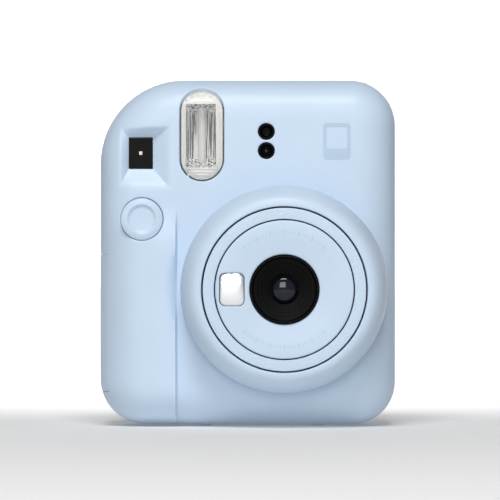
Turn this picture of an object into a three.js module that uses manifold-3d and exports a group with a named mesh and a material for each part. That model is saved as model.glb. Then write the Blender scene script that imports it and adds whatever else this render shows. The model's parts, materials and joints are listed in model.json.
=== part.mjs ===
// An instant camera as an assembly of separate parts.
// Units are millimetres. The camera faces -Y, +X is to the right seen from its front, +Z is up.
// The origin is on the standing plane, under the middle of the overall box.

import * as THREE from "three";
import { mergeVertices } from "three/addons/utils/BufferGeometryUtils.js";
import Module from "manifold-3d";

const wasm = await Module();
wasm.setup();

// ---------- driving dimensions ----------

const BODY = {
  halfWidth: 52,
  bottom: 0.7,
  top: 122,
  front: -15.3,
  back: 33.3,
  frontRound: 13,
  backRound: 11,
  wall: 2,
  seam: 6,
  gripProud: 1.5,
  gripEdge: -25,
  gripTop: 82.6,
};
// Corner radii of the body seen from the front, in the order of CORNERS.
const CORNERS = [
  { side: 1, up: 1, radius: 16 },
  { side: -1, up: 1, radius: 29.7 },
  { side: -1, up: -1, radius: 16 },
  { side: 1, up: -1, radius: 15 },
];
const GAP = 0.4;
const TOUCH = 0.3;
const LENS = { x: 12.7, z: 48.4, front: -33.3 };
const DOME = { radius: 36.2, mouth: 28.75, shoulder: 29.6, depth: 14, guide: 30.2 };
const DIAL = { radius: 28.35, mouth: 24.45, tube: 1.4, lip: 1.6, back: -12.8 };
const FLASH = { x: -16.1, z: 102.5, width: 15.4, height: 32.5, proud: 0.5 };
const FINDER = { x: -37.6, z: 96.1, width: 8.6, height: 11.2, depth: 3 };
const BUTTON = { x: -37.1, z: 72.9, radius: 7.35, flange: 8.2, stem: 2.2 };
const SENSOR = { x: 6.5, upper: 103.6, lower: 96.9, radius: 2.75 };
const DOOR = { left: -21.4, right: 47.4, bottom: 8, top: 112, inner: 28.3, free: 9, hinged: 2 };
const HINGE = { x: 48.3, y: 29.5, barrel: 2.1, pin: 0.9, low: 11, high: 109, shellLow: 42, shellHigh: 78 };
const CHAMBER = { left: -19.3, right: 43.9, bottom: 9.3, top: 100.5, front: 12, back: 26.7, wall: 1.5 };
const FILM = { y: 13.7, width: 56, slotDepth: 5 };
const ROLLER = { radius: 3.9, spacing: 8, z: 106.8, shaft: 1.5, length: 57 };
const GEAR_MODULE = 0.6;
const CELL = { radius: 7.1, length: 50.5, x: -40.9, z: 38.6, front: -1.1, back: 13.3 };
const TRAY = { left: -45.5, right: -32.4, front: -9, back: 21.6, bottom: 10.8, top: 66.6, wall: 0.7 };
const COVER = { front: -10, back: 22, bottom: 12, top: 61, depth: 5.5 };
const STRAP = { y: 6, z: 86, width: 9, height: 12, depth: 4.4, wall: 0.8, bar: 1 };
const LATCH = { x: -30, z: 58, width: 8, height: 14, travel: 4 };
const COUNTER = { x: -34, z: 26, radius: 6.5, window: 6, rise: 4 };
const FOOT = { root: 2.6, rest: 1.3, xs: [-15.1, 24.9], front: 0, back: 21 };
const FUNNEL = { width: 17, height: 20.4, shiftX: 1.5, shiftZ: -1.1 };
const FINDER_BLOCK = { left: -46.5, right: -29.5, bottom: 84.5, top: 107, back: -8.6 };
const EYEPIECE = { width: 11, height: 10, front: 30.8, back: 32.9 };
const PACK_WINDOW = { x: 10, z: 60, width: 8, height: 24, front: 31.2, back: 32.9 };
const SCREWS = { lower: [-26.5, 12], upper: [-32.6, 109] };
const SCREW = { head: 2, shank: 0.9, post: 2.4, boss: 3.2, bore: 1.2, seat: 28.4 };
// Reach of the blocks and rods that only cut, well past every side of the camera.
const FAR = 150;

// ---------- materials ----------

const finish = (color, roughness, metalness = 0) =>
  new THREE.MeshStandardMaterial({ color, roughness, metalness });
const MATERIALS = {
  shell: finish(0xc3d7ec, 0.5),
  black: finish(0x141417, 0.55),
  clear: finish(0xe6e9e4, 0.1),
  glass: finish(0x30343c, 0.05),
  mirror: finish(0xdfe2e4, 0.08, 1),
  metal: finish(0xb9bcc0, 0.3, 1),
  spring: finish(0x9fa3a8, 0.35, 1),
  board: finish(0x1f5b3a, 0.6),
  gear: finish(0xe9e6dc, 0.5),
  rubber: finish(0x2a2c30, 0.85),
  cell: finish(0x4a4e57, 0.4),
};

const camera = new THREE.Group();

// ---------- solids ----------

// A closed geometry as a manifold-3d solid, turned right side out.
function solid(geometry) {
  const bare = geometry.clone();
  for (const name of Object.keys(bare.attributes)) if (name !== "position") bare.deleteAttribute(name);
  const merged = mergeVertices(bare, 1e-4);
  const triVerts = new Uint32Array(merged.index.array);
  const vertProperties = new Float32Array(merged.attributes.position.array);
  if (signedVolume(vertProperties, triVerts) < 0) {
    for (let i = 0; i < triVerts.length; i += 3) {
      [triVerts[i + 1], triVerts[i + 2]] = [triVerts[i + 2], triVerts[i + 1]];
    }
  }
  return new wasm.Manifold(new wasm.Mesh({ numProp: 3, vertProperties, triVerts }));
}

function signedVolume(vertices, triangles) {
  const [a, b, c] = [new THREE.Vector3(), new THREE.Vector3(), new THREE.Vector3()];
  let sum = 0;
  for (let i = 0; i < triangles.length; i += 3) {
    a.fromArray(vertices, 3 * triangles[i]);
    b.fromArray(vertices, 3 * triangles[i + 1]);
    c.fromArray(vertices, 3 * triangles[i + 2]);
    sum += a.dot(b.cross(c)) / 6;
  }
  return sum;
}

function geometryOf(body) {
  const mesh = body.getMesh();
  const positions = new Float32Array(mesh.numVert * 3);
  for (let i = 0; i < mesh.numVert; i++) {
    positions.set(mesh.vertProperties.subarray(i * mesh.numProp, i * mesh.numProp + 3), 3 * i);
  }
  return new THREE.BufferGeometry()
    .setAttribute("position", new THREE.BufferAttribute(positions, 3))
    .setIndex(new THREE.BufferAttribute(new Uint32Array(mesh.triVerts), 1));
}

// Adds a named part. Its shape is a solid, or a closed geometry.
function part(name, shape, material, x = 0, y = 0, z = 0) {
  const geometry = shape.isBufferGeometry ? shape : geometryOf(shape);
  const mesh = new THREE.Mesh(geometry, MATERIALS[material]);
  mesh.name = name;
  mesh.position.set(x, y, z);
  camera.add(mesh);
  return mesh;
}

const joined = (...bodies) => bodies.reduce((sum, body) => sum.add(body));
const cut = (body, ...tools) => tools.reduce((left, tool) => left.subtract(tool), body);
const common = (...bodies) => bodies.reduce((left, body) => left.intersect(body));

// A box given by its lowest and highest corners.
function box(x0, y0, z0, x1, y1, z1) {
  const geometry = new THREE.BoxGeometry(x1 - x0, y1 - y0, z1 - z0);
  return solid(geometry.translate((x0 + x1) / 2, (y0 + y1) / 2, (z0 + z1) / 2));
}

// A cylinder of a given radius between two values along an axis, centred on the other two.
function rod(axis, radius, from, to, across, up, sides = 16) {
  const geometry = new THREE.CylinderGeometry(radius, radius, to - from, sides);
  const middle = (from + to) / 2;
  if (axis === "x") geometry.rotateZ(Math.PI / 2).translate(middle, across, up);
  if (axis === "y") geometry.translate(across, middle, up);
  if (axis === "z") geometry.rotateX(Math.PI / 2).translate(across, up, middle);
  return solid(geometry);
}

// A surface of revolution about Y: its profile is a list of [radius, y].
const latheGeometry = (profile, segments) =>
  new THREE.LatheGeometry(profile.map(([radius, y]) => new THREE.Vector2(radius, y)), segments);

// A solid of revolution about a line along Y: its profile is a closed list of [radius, y].
function turned(profile, x, z, segments = 32) {
  return solid(latheGeometry([...profile, profile[0]], segments).translate(x, 0, z));
}

// A flat outline in the X-Z plane, carried along Y.
function prism(shape, from, to, curveSegments = 4) {
  const geometry = new THREE.ExtrudeGeometry(shape, { depth: to - from, bevelEnabled: false, curveSegments });
  return solid(geometry.rotateX(Math.PI / 2).translate(0, to, 0));
}

// A rounded rectangle in the X-Z plane; radii run from the upper right, counter-clockwise.
function roundedRectangle(left, bottom, right, top, radii) {
  const [upperRight, upperLeft, lowerLeft, lowerRight] = Array.isArray(radii) ? radii : Array(4).fill(radii);
  const shape = new THREE.Shape();
  shape.moveTo(left + lowerLeft, bottom);
  shape.lineTo(right - lowerRight, bottom);
  shape.absarc(right - lowerRight, bottom + lowerRight, lowerRight, -Math.PI / 2, 0, false);
  shape.lineTo(right, top - upperRight);
  shape.absarc(right - upperRight, top - upperRight, upperRight, 0, Math.PI / 2, false);
  shape.lineTo(left + upperLeft, top);
  shape.absarc(left + upperLeft, top - upperLeft, upperLeft, Math.PI / 2, Math.PI, false);
  shape.lineTo(left, bottom + lowerLeft);
  shape.absarc(left + lowerLeft, bottom + lowerLeft, lowerLeft, Math.PI, 1.5 * Math.PI, false);
  return shape;
}

const centredRectangle = (x, z, width, height, radius) =>
  roundedRectangle(x - width / 2, z - height / 2, x + width / 2, z + height / 2, radius);

// A closed skin over rings of points that all hold the same number of points.
function loft(rings) {
  const count = rings[0].length;
  const positions = rings.flat(2);
  const middle = (ring) => [0, 1, 2].map((k) => ring.reduce((sum, point) => sum + point[k], 0) / count);
  positions.push(...middle(rings[0]), ...middle(rings[rings.length - 1]));
  const first = rings.length * count;
  const index = [];
  for (let r = 0; r + 1 < rings.length; r++) {
    for (let i = 0; i < count; i++) {
      const [a, b] = [r * count + i, r * count + ((i + 1) % count)];
      index.push(a, b, b + count, a, b + count, a + count);
    }
  }
  for (let i = 0; i < count; i++) {
    const next = (i + 1) % count;
    index.push(first, next, i, first + 1, first - count + i, first - count + next);
  }
  return solid(
    new THREE.BufferGeometry()
      .setAttribute("position", new THREE.BufferAttribute(new Float32Array(positions), 3))
      .setIndex(index),
  );
}

// ---------- the body's outer form ----------

const CORNER_STEPS = 6;

// The body's outline seen from the front, drawn in by an inset, as a ring of points at a depth.
function outlineRing(inset, y) {
  const ring = [];
  CORNERS.forEach(({ side, up, radius }, corner) => {
    const x = side * (BODY.halfWidth - radius);
    const z = up > 0 ? BODY.top - radius : BODY.bottom + radius;
    for (let step = 0; step <= CORNER_STEPS; step++) {
      const angle = (corner + step / CORNER_STEPS) * (Math.PI / 2);
      ring.push([x + (radius - inset) * Math.cos(angle), y, z + (radius - inset) * Math.sin(angle)]);
    }
  });
  return ring;
}

// The body's outer form, offset inwards by a wall and forwards at the front by a rise.
function bodyForm(wall, rise = 0) {
  const steps = 5;
  const rings = [];
  const frontRound = BODY.frontRound + rise;
  for (let step = steps; step >= 0; step--) {
    const angle = (step / steps) * (Math.PI / 2);
    rings.push(
      outlineRing(
        frontRound - (frontRound - wall) * Math.cos(angle),
        BODY.front + BODY.frontRound - (frontRound - wall) * Math.sin(angle),
      ),
    );
  }
  for (let step = 0; step <= steps; step++) {
    const angle = (step / steps) * (Math.PI / 2);
    rings.push(
      outlineRing(
        BODY.backRound - (BODY.backRound - wall) * Math.cos(angle),
        BODY.back - BODY.backRound + (BODY.backRound - wall) * Math.sin(angle),
      ),
    );
  }
  return loft(rings);
}

// The raised grip on the camera's left front, cut back round the lens dome.
function gripForm(wall) {
  const region = box(-FAR, -FAR, -FAR, BODY.gripEdge - wall, 0, BODY.gripTop - wall);
  const valley = rod("y", DOME.radius + 2, -FAR, FAR, LENS.x, LENS.z, 40);
  return cut(common(bodyForm(wall, BODY.gripProud), region), valley);
}

const outerForm = joined(bodyForm(0), gripForm(0));
const innerForm = joined(bodyForm(BODY.wall), gripForm(BODY.wall));
const casing = cut(outerForm, innerForm);
const frontHalf = box(-FAR, -FAR, -FAR, FAR, BODY.seam - TOUCH / 2, FAR);
const backHalf = box(-FAR, BODY.seam + TOUCH / 2, -FAR, FAR, FAR, FAR);

// The opening in the grip's side that the battery cover closes.
const coverInner = -BODY.halfWidth + COVER.depth;
const batteryOpening = box(-FAR, COVER.front, COVER.bottom, coverInner, COVER.back, COVER.top);

// The pockets in both sides that take the strap lugs.
function strapPocket(side, play) {
  const outer = side * (BODY.halfWidth + 5);
  const inner = side * (BODY.halfWidth - STRAP.depth - play);
  const [low, high] = side > 0 ? [inner, outer] : [outer, inner];
  const [halfWidth, halfHeight] = [STRAP.width / 2 + play, STRAP.height / 2 + play];
  return box(low, STRAP.y - halfWidth, STRAP.z - halfHeight, high, STRAP.y + halfWidth, STRAP.z + halfHeight);
}

// A four-sided funnel that narrows from the surface down to the finder window.
function finderFunnel() {
  const corner = (width, height, x, y, z) => [
    [x + width / 2, y, z + height / 2],
    [x - width / 2, y, z + height / 2],
    [x - width / 2, y, z - height / 2],
    [x + width / 2, y, z - height / 2],
  ];
  const floor = BODY.front + FINDER.depth;
  return loft([
    corner(FUNNEL.width, FUNNEL.height, FINDER.x + FUNNEL.shiftX, BODY.front - GAP, FINDER.z + FUNNEL.shiftZ),
    corner(FINDER.width, FINDER.height, FINDER.x, floor, FINDER.z),
  ]);
}

// ---------- casing ----------

// Posts on the front shell that the case screws bite into, and bosses on the rear shell round them.
const screwPosts = () => Object.values(SCREWS).map(([x, z]) => rod("y", SCREW.post, -14, 5.5, x, z, 12));
const screwBosses = () => Object.values(SCREWS).map(([x, z]) => rod("y", SCREW.boss, 20, 32.5, x, z, 16));
const screwBores = () =>
  Object.values(SCREWS).flatMap(([x, z]) => [
    rod("y", SCREW.bore, 0, FAR, x, z, 10),
    rod("y", SCREW.head + GAP, SCREW.seat - GAP, FAR, x, z, 14),
  ]);

function buildFrontShell() {
  const { left, right, bottom, top, back } = FINDER_BLOCK;
  const finderBlock = common(box(left, -FAR, bottom, right, back, top), bodyForm(BODY.wall / 2));
  const flashHole = prism(
    centredRectangle(FLASH.x, FLASH.z, FLASH.width + 2 * GAP, FLASH.height + 2 * GAP, FLASH.width / 2 + GAP),
    -FAR, 0,
  );
  const finderHole = box(
    FINDER.x - FINDER.width / 2, -FAR, FINDER.z - FINDER.height / 2,
    FINDER.x + FINDER.width / 2, 0, FINDER.z + FINDER.height / 2,
  );
  const shell = cut(
    joined(common(casing, frontHalf), finderBlock, ...screwPosts(), ...feet(FOOT.front)),
    finderFunnel(),
    finderHole,
    flashHole,
    rod("y", BUTTON.radius + GAP, -FAR, 0, BUTTON.x, BUTTON.z, 32),
    rod("y", SENSOR.radius + TOUCH / 2, -FAR, 0, SENSOR.x, SENSOR.upper, 20),
    rod("y", SENSOR.radius + TOUCH / 2, -FAR, 0, SENSOR.x, SENSOR.lower, 20),
    rod("y", DOME.guide + TOUCH, -FAR, 0, LENS.x, LENS.z, 40),
    batteryOpening,
    strapPocket(-1, TOUCH),
    strapPocket(1, TOUCH),
  );
  part("front_shell", shell, "shell");
}

function doorOutline(play) {
  const [hinged, free] = [DOOR.hinged, DOOR.free].map((radius) => Math.max(radius + play, 0.5));
  return roundedRectangle(
    DOOR.left - play, DOOR.bottom - play, DOOR.right + play, DOOR.top + play,
    [hinged, free, free, hinged],
  );
}

const hingeRod = (radius, low, high, sides = 16) => rod("z", radius, low, high, HINGE.x, HINGE.y, sides);

function buildRearShell() {
  const knuckle = hingeRod(HINGE.barrel, HINGE.shellLow + GAP / 2, HINGE.shellHigh - GAP / 2);
  const opening = cut(
    prism(doorOutline(GAP), 10, FAR),
    box(-FAR, -FAR, -FAR, FAR, DOOR.inner - TOUCH - 0.01, FAR),
  );
  const cavity = prism(doorOutline(-1), 10, FAR);
  const filmSlot = box(
    LENS.x - FILM.width / 2 - 2, FILM.y - FILM.slotDepth / 2 - 1.4, 115,
    LENS.x + FILM.width / 2 + 2, FILM.y + FILM.slotDepth / 2 + 1.4, FAR,
  );
  const backHole = (x, z, width, height, radius) =>
    prism(centredRectangle(x, z, width + GAP, height + GAP, radius), 25, FAR);
  const eyepieceHole = backHole(FINDER.x, FINDER.z, EYEPIECE.width, EYEPIECE.height, 2);
  const { travel } = LATCH;
  const latchHole = backHole(LATCH.x, LATCH.z - travel / 2, LATCH.width, LATCH.height + travel, 1.5);
  const counterHole = backHole(COUNTER.x, COUNTER.z + COUNTER.rise, COUNTER.window, COUNTER.window, 1);
  const body = cut(
    joined(common(casing, backHalf), ...screwBosses(), ...feet(FOOT.back)),
    ...screwBores(),
    opening,
    cavity,
    hingeRod(HINGE.barrel + GAP, DOOR.bottom - GAP, HINGE.shellLow + GAP / 2),
    hingeRod(HINGE.barrel + GAP, HINGE.shellHigh - GAP / 2, DOOR.top + GAP),
    filmSlot,
    eyepieceHole,
    latchHole,
    counterHole,
    batteryOpening,
    strapPocket(-1, TOUCH),
    strapPocket(1, TOUCH),
  );
  part("rear_shell", cut(joined(body, knuckle), hingeRod(HINGE.pin + 0.2, 0, FAR, 12)), "shell");
}

function buildFilmDoor() {
  const slab = common(prism(doorOutline(0), DOOR.inner, FAR), bodyForm(0));
  const hollow = common(prism(doorOutline(-BODY.wall - GAP), 20, FAR), bodyForm(BODY.wall));
  const knuckles = joined(
    hingeRod(HINGE.barrel, HINGE.low, HINGE.shellLow - GAP / 2),
    hingeRod(HINGE.barrel, HINGE.shellHigh + GAP / 2, HINGE.high),
  );
  const { x: windowX, z: windowZ, width, height, front, back } = PACK_WINDOW;
  const window = prism(centredRectangle(windowX, windowZ, width + GAP, height + GAP, 2.2), 20, FAR);
  const door = cut(
    joined(cut(slab, hollow), knuckles),
    hingeRod(HINGE.barrel + GAP, HINGE.shellLow - GAP / 2, HINGE.shellHigh + GAP / 2),
    hingeRod(HINGE.pin + 0.2, 0, FAR, 12),
    window,
  );
  part("film_door", door, "shell");
  const pane = prism(centredRectangle(windowX, windowZ, width, height, 2), front, back);
  part("film_pack_window", pane, "clear");
  part("door_hinge_pin", hingeRod(HINGE.pin, HINGE.low + TOUCH, HINGE.high - TOUCH, 12), "metal");
  for (const [name, x] of [["left", -6], ["right", 30]]) {
    part(`film_pressure_spring_${name}`, pressureSpring(x), "metal");
  }
}

// A bowed leaf that presses the film cartridge forwards.
function pressureSpring(x) {
  const [halfWidth, halfLength, bow, thickness, seat, middle] = [4, 24, 2.2, 0.4, 30.9, 54];
  const rings = [];
  for (let step = 0; step <= 8; step++) {
    const along = -1 + step / 4;
    const y = seat - bow * (1 - along * along);
    const z = middle + halfLength * along;
    rings.push([
      [x - halfWidth, y, z],
      [x + halfWidth, y, z],
      [x + halfWidth, y - thickness, z],
      [x - halfWidth, y - thickness, z],
    ]);
  }
  return loft(rings);
}

function buildLatch() {
  const [halfWidth, halfHeight] = [LATCH.width / 2, LATCH.height / 2];
  const [inner, outer] = [30.4, 33.2];
  const slider = prism(centredRectangle(LATCH.x, LATCH.z, LATCH.width, LATCH.height, 1.3), inner, outer);
  const plate = box(
    LATCH.x - halfWidth - 1.2, inner - 1.2, LATCH.z - halfHeight - 1,
    DOOR.left - 2 * GAP, inner + 0.2, LATCH.z + halfHeight + 1,
  );
  const ribs = [-4, -1.5, 1, 3.5].map((rise) =>
    box(
      LATCH.x - halfWidth + 1, outer - 0.2, LATCH.z + rise,
      LATCH.x + halfWidth - 1, outer + 0.1, LATCH.z + rise + 1,
    ),
  );
  part("door_latch", joined(slider, plate, ...ribs), "shell");
  part("latch_spring", coil(1.5, 0.3, 9, 5, "z", LATCH.x - 2, 27.2, LATCH.z + 2), "spring");
}

// A coil spring with flat-ended wire, along an axis from a start point. It narrows to an end radius.
function coil(radius, wire, length, turns, axis, x, y, z, endRadius = radius) {
  class Helix extends THREE.Curve {
    getPoint(t, target = new THREE.Vector3()) {
      const angle = 2 * Math.PI * turns * t;
      const reach = radius + (endRadius - radius) * t;
      const [a, b, c] = [reach * Math.cos(angle), reach * Math.sin(angle), length * t];
      return axis === "z" ? target.set(a, b, c) : target.set(a, c, b);
    }
  }
  const section = new THREE.Shape();
  section.absarc(0, 0, wire, 0, 2 * Math.PI, false);
  const geometry = new THREE.ExtrudeGeometry(section, {
    steps: turns * 8,
    extrudePath: new Helix(),
    curveSegments: 2,
    bevelEnabled: false,
  });
  return solid(geometry.translate(x, y, z));
}

function buildBatteries() {
  const shell = cut(bodyForm(0), bodyForm(BODY.wall));
  const cover = common(
    shell,
    box(-FAR, COVER.front + GAP, COVER.bottom + GAP, coverInner - GAP / 2, COVER.back - GAP, COVER.top - GAP),
  );
  part("battery_cover", cover, "shell");
  const { left, right, front, back, bottom, top, wall } = TRAY;
  const tray = cut(
    box(left, front, bottom, right, back, top),
    box(-FAR, front + wall, bottom + wall, right - wall, back - wall, top - wall),
  );
  part("battery_tray", tray, "black");
  for (const [name, y, up] of [["front", CELL.front, 1], ["rear", CELL.back, -1]]) {
    part(`battery_${name}`, batteryCell(y, up), "cell");
  }
  const [inset, ceiling] = [2 * wall, top - wall];
  const contact = box(left, front + inset, ceiling - 1, right - inset, back - inset, ceiling - 0.4);
  part("battery_contact", contact, "metal");
  const spring = coil(4.8, 0.3, 0.8, 2, "z", CELL.x, CELL.front, bottom + wall + 0.45, 2.4);
  part("battery_spring", spring, "spring");
}

// A cylindrical cell with its raised positive end up or down.
function batteryCell(y, up) {
  const [bottom, top] = [CELL.z - CELL.length / 2, CELL.z + CELL.length / 2];
  const [canBottom, canTop] = up > 0 ? [bottom, top - 1] : [bottom + 1, top];
  const [tipBottom, tipTop] = up > 0 ? [CELL.z, top] : [bottom, CELL.z];
  const can = rod("z", CELL.radius, canBottom, canTop, CELL.x, y, 24);
  const tip = rod("z", 2.6, tipBottom, tipTop, CELL.x, y, 16);
  return joined(can, tip);
}

function buildStrapLugs() {
  for (const [name, side] of [["left", -1], ["right", 1]]) {
    const face = side * (BODY.halfWidth - TOUCH / 2);
    const inner = side * (BODY.halfWidth - STRAP.depth);
    const [halfWidth, halfHeight] = [STRAP.width / 2, STRAP.height / 2];
    const block = (near, far, inset) =>
      box(
        Math.min(near, far), STRAP.y - halfWidth + inset, STRAP.z - halfHeight + inset,
        Math.max(near, far), STRAP.y + halfWidth - inset, STRAP.z + halfHeight - inset,
      );
    const cup = cut(block(inner, face, 0), block(inner + side * STRAP.wall, side * FAR, STRAP.wall));
    const [barLow, barHigh] = [STRAP.z - halfHeight + GAP, STRAP.z + halfHeight - GAP];
    const bar = rod("z", STRAP.bar, barLow, barHigh, side * (BODY.halfWidth - STRAP.bar - GAP), STRAP.y, 12);
    part(`strap_lug_${name}`, joined(cup, bar), "black");
  }
}

// The two small feet moulded under one shell.
function feet(y) {
  const height = BODY.bottom + BODY.wall / 2;
  return FOOT.xs.map((x) => {
    const geometry = new THREE.CylinderGeometry(FOOT.root, FOOT.rest, height, 16);
    return solid(geometry.rotateX(-Math.PI / 2).translate(x, y, height / 2));
  });
}

function buildScrews() {
  for (const [name, [x, z]] of Object.entries(SCREWS)) {
    const top = SCREW.seat + 1.8;
    const head = rod("y", SCREW.head, SCREW.seat, top, x, z, 12);
    const shank = rod("y", SCREW.shank, 8, SCREW.seat + GAP, x, z, 10);
    const slot = (halfWidth, halfHeight) =>
      box(x - halfWidth, top - 2 * GAP, z - halfHeight, x + halfWidth, FAR, z + halfHeight);
    part(`case_screw_${name}`, cut(joined(head, shank), slot(1.3, 0.25), slot(0.25, 1.3)), "metal");
  }
}

// ---------- lens ----------

function arcPoints(centreRadius, centreY, a, b, from, to, steps) {
  return Array.from({ length: steps + 1 }, (_, i) => {
    const angle = from + ((to - from) * i) / steps;
    return [centreRadius + a * Math.cos(angle), centreY + b * Math.sin(angle)];
  });
}

function buildDome() {
  const [back, guideFront] = [-7.5, -24];
  const { radius, mouth, shoulder, depth, guide } = DOME;
  const [quarter, round] = [Math.PI / 2, radius - shoulder];
  const outer = arcPoints(shoulder, LENS.front + depth, round, -depth, 0, quarter, 5);
  const inner = arcPoints(shoulder + 0.6, LENS.front + depth, round - 2.6, 2 - depth, quarter, 0, 3);
  const profile = [
    [radius, back],
    ...outer,
    [mouth, LENS.front],
    [mouth, back],
    [guide, back],
    ...inner,
    [radius - BODY.wall, back],
  ];
  const gripRegion = box(-FAR, -FAR, -FAR, BODY.gripEdge, 0, BODY.gripTop + GAP);
  const seat = joined(bodyForm(-TOUCH), common(bodyForm(-TOUCH, BODY.gripProud), gripRegion));
  const skin = cut(turned(profile, LENS.x, LENS.z, 44), seat);
  const tubeProfile = [[mouth, guideFront], [guide, guideFront], [guide, back], [mouth, back]];
  const tube = turned(tubeProfile, LENS.x, LENS.z, 44);
  part("lens_dome", joined(skin, tube), "shell");
}

function buildDial() {
  const { radius, mouth, tube, lip, back } = DIAL;
  const ease = 0.5;
  const profile = [
    [mouth, LENS.front + ease / 2],
    [mouth + ease / 2, LENS.front],
    [radius - ease, LENS.front],
    [radius, LENS.front + ease],
    [radius, back],
    [radius - tube, back],
    [radius - tube, LENS.front + lip],
    [mouth, LENS.front + lip],
  ];
  const grip = turned(profile, LENS.x, LENS.z, 44);
  const [lugBottom, lugTop] = [LENS.z + radius - tube + 0.1, LENS.z + radius - 0.1];
  const lug = box(LENS.x - 1.5, back - 0.5, lugBottom, LENS.x + 1.5, back + 0.5, lugTop);
  part("lens_dial", joined(grip, lug), "shell");
}

const FACE = { radius: 24.05, front: -33.1, back: -31.4, hole: 12.15, dish: 0.9 };
const MIRROR = { x: LENS.x - 18.2, z: LENS.z, width: 8.3, height: 11.1, dome: 40, front: -33, back: -31.6 };

function buildBarrel() {
  const web = [[12.6, -31.1], [26.6, -31.1], [26.6, -9.5], [25, -9.5], [25, -29.7], [12.6, -29.7]];
  const pocket = box(LENS.x - 22.7, -FAR, LENS.z - 6, LENS.x - 13.6, -30.4, LENS.z + 6);
  part("lens_barrel", cut(turned(web, LENS.x, LENS.z, 36), pocket), "black");
  const face = turned(
    [
      [FACE.hole, FACE.front + FACE.dish],
      [15, FACE.front + FACE.dish * 0.7],
      [19, FACE.front + FACE.dish * 0.12],
      [21.5, FACE.front],
      [FACE.radius, FACE.front],
      [FACE.radius, FACE.back],
      [FACE.hole, FACE.back],
    ],
    LENS.x, LENS.z, 36,
  );
  const { x, z, width, height } = MIRROR;
  const recess = prism(centredRectangle(x, z, width + GAP, height + GAP, 2), -FAR, 0);
  part("lens_face", cut(face, recess), "shell");
  part("selfie_mirror", domedMirror(), "mirror");
}

// A small convex mirror for framing a self-portrait.
function domedMirror() {
  const { x, z, width, height, dome, front, back } = MIRROR;
  const blank = prism(centredRectangle(x, z, width, height, 1.9), front - 2, back);
  const ball = solid(new THREE.SphereGeometry(dome, 60, 30).translate(x, front + dome, z));
  const cap = common(ball, box(x - width, -FAR, z - height, x + width, back + 1, z + height));
  return common(blank, cap);
}

function buildOptics() {
  const hood = [
    [11.8, -32.9], [11.8, -24.9], [4.6, -24.9], [4.6, -25.4], [5.3, -25.4], [5.3, -27.3], [6.4, -27.3],
    [6.4, -28.3], [7.6, -28.3], [7.6, -29.5], [8.9, -29.5], [8.9, -30.9], [10.6, -30.9], [11.2, -32.9],
  ];
  part("lens_hood", turned(hood, LENS.x, LENS.z, 28), "black");
  const frontLens = [
    [0, -28.1], [1.8, -27.9], [3.4, -27.2], [4.9, -25.9], [4.9, -25.75], [3, -25.75], [0, -25.75],
  ];
  part("front_lens", latheGeometry(frontLens, 28), "glass", LENS.x, 0, LENS.z);
  const plate = [[2.9, -24.5], [13.4, -24.5], [13.4, -23.7], [2.9, -23.7]];
  const pins = [-1, 1].map((side) =>
    rod("y", BLADE.bore - 0.2, -24, -21.2, LENS.x + side * BLADE.x, LENS.z + BLADE.z, 10),
  );
  part("shutter_plate", joined(turned(plate, LENS.x, LENS.z, 32), ...pins), "black");
  part("shutter_blade_left", shutterBlade(-1, -23.2), "black");
  part("shutter_blade_right", shutterBlade(1, -22.2), "black");
  const holder = [[5.8, -19.9], [13.4, -19.9], [13.4, -15.6], [11.8, -15.6], [11.8, -18.6], [5.8, -18.6]];
  const lugs = [[-13.2, -11], [11, 13.2]].map(([near, far]) =>
    box(LENS.x + near, -23.4, LENS.z + 3, LENS.x + far, -19.8, LENS.z + 8),
  );
  part("lens_holder", joined(turned(holder, LENS.x, LENS.z, 32), ...lugs), "black");
  const rearLens = [[0, -19.2], [5.5, -18.2], [5.5, -17.4], [0, -16.6]];
  part("rear_lens", latheGeometry(rearLens, 24), "glass", LENS.x, 0.2, LENS.z);
  const magnet = box(LENS.x + 14.2, -28.9, LENS.z - 5, LENS.x + 20.5, -22, LENS.z + 5);
  const plunger = rod("z", 1.2, LENS.z - 8, LENS.z + 8, LENS.x + 17.3, -25.5, 12);
  part("shutter_solenoid", joined(magnet, plunger), "metal");
}

const BLADE = { x: 9, z: -5, thickness: 0.5, eye: 1.8, bore: 0.9 };

// A thin blade that pivots on its pin and covers half of the aperture.
function shutterBlade(side, y) {
  const [pivotX, pivotZ] = [LENS.x + side * BLADE.x, LENS.z + BLADE.z];
  const shape = new THREE.Shape();
  shape.absarc(pivotX, pivotZ, BLADE.eye, 0, 2 * Math.PI, false);
  const eye = prism(shape, y, y + BLADE.thickness, 6);
  const arm = new THREE.Shape([
    new THREE.Vector2(pivotX - side * 0.5, pivotZ - 1.6),
    new THREE.Vector2(LENS.x - side * 1, LENS.z - 4.2),
    new THREE.Vector2(LENS.x - side * 1.5, LENS.z + 4.2),
    new THREE.Vector2(LENS.x + side * 4.5, LENS.z + 4.2),
    new THREE.Vector2(pivotX + side * 0.8, pivotZ + 1.5),
  ]);
  const leaf = prism(arm, y, y + BLADE.thickness);
  return cut(joined(eye, leaf), rod("y", BLADE.bore, -FAR, FAR, pivotX, pivotZ, 12));
}

// ---------- film path ----------

function buildFilmChamber() {
  const { left, right, bottom, top, front, back, wall } = CHAMBER;
  const halfFilm = FILM.width / 2;
  const frame = cut(
    box(left - wall, front - 0.1, bottom - wall, right + wall, back, top + wall),
    box(left, front - 5, bottom, right, back + 5, top),
    box(LENS.x - halfFilm, FILM.y - 1.5, top - 2, LENS.x + halfFilm, FILM.y + 1.5, top + 5),
  );
  const [halfPicture, halfPictureHeight] = [23, 31];
  const gate = cut(
    box(left - wall, 10, bottom - wall, right + wall, front, top + wall),
    box(
      LENS.x - halfPicture, 0, LENS.z - halfPictureHeight,
      LENS.x + halfPicture, 20, LENS.z + halfPictureHeight,
    ),
  );
  part("film_chamber", joined(frame, gate), "black");
  part("light_box", lightBox(), "black");
}

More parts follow.
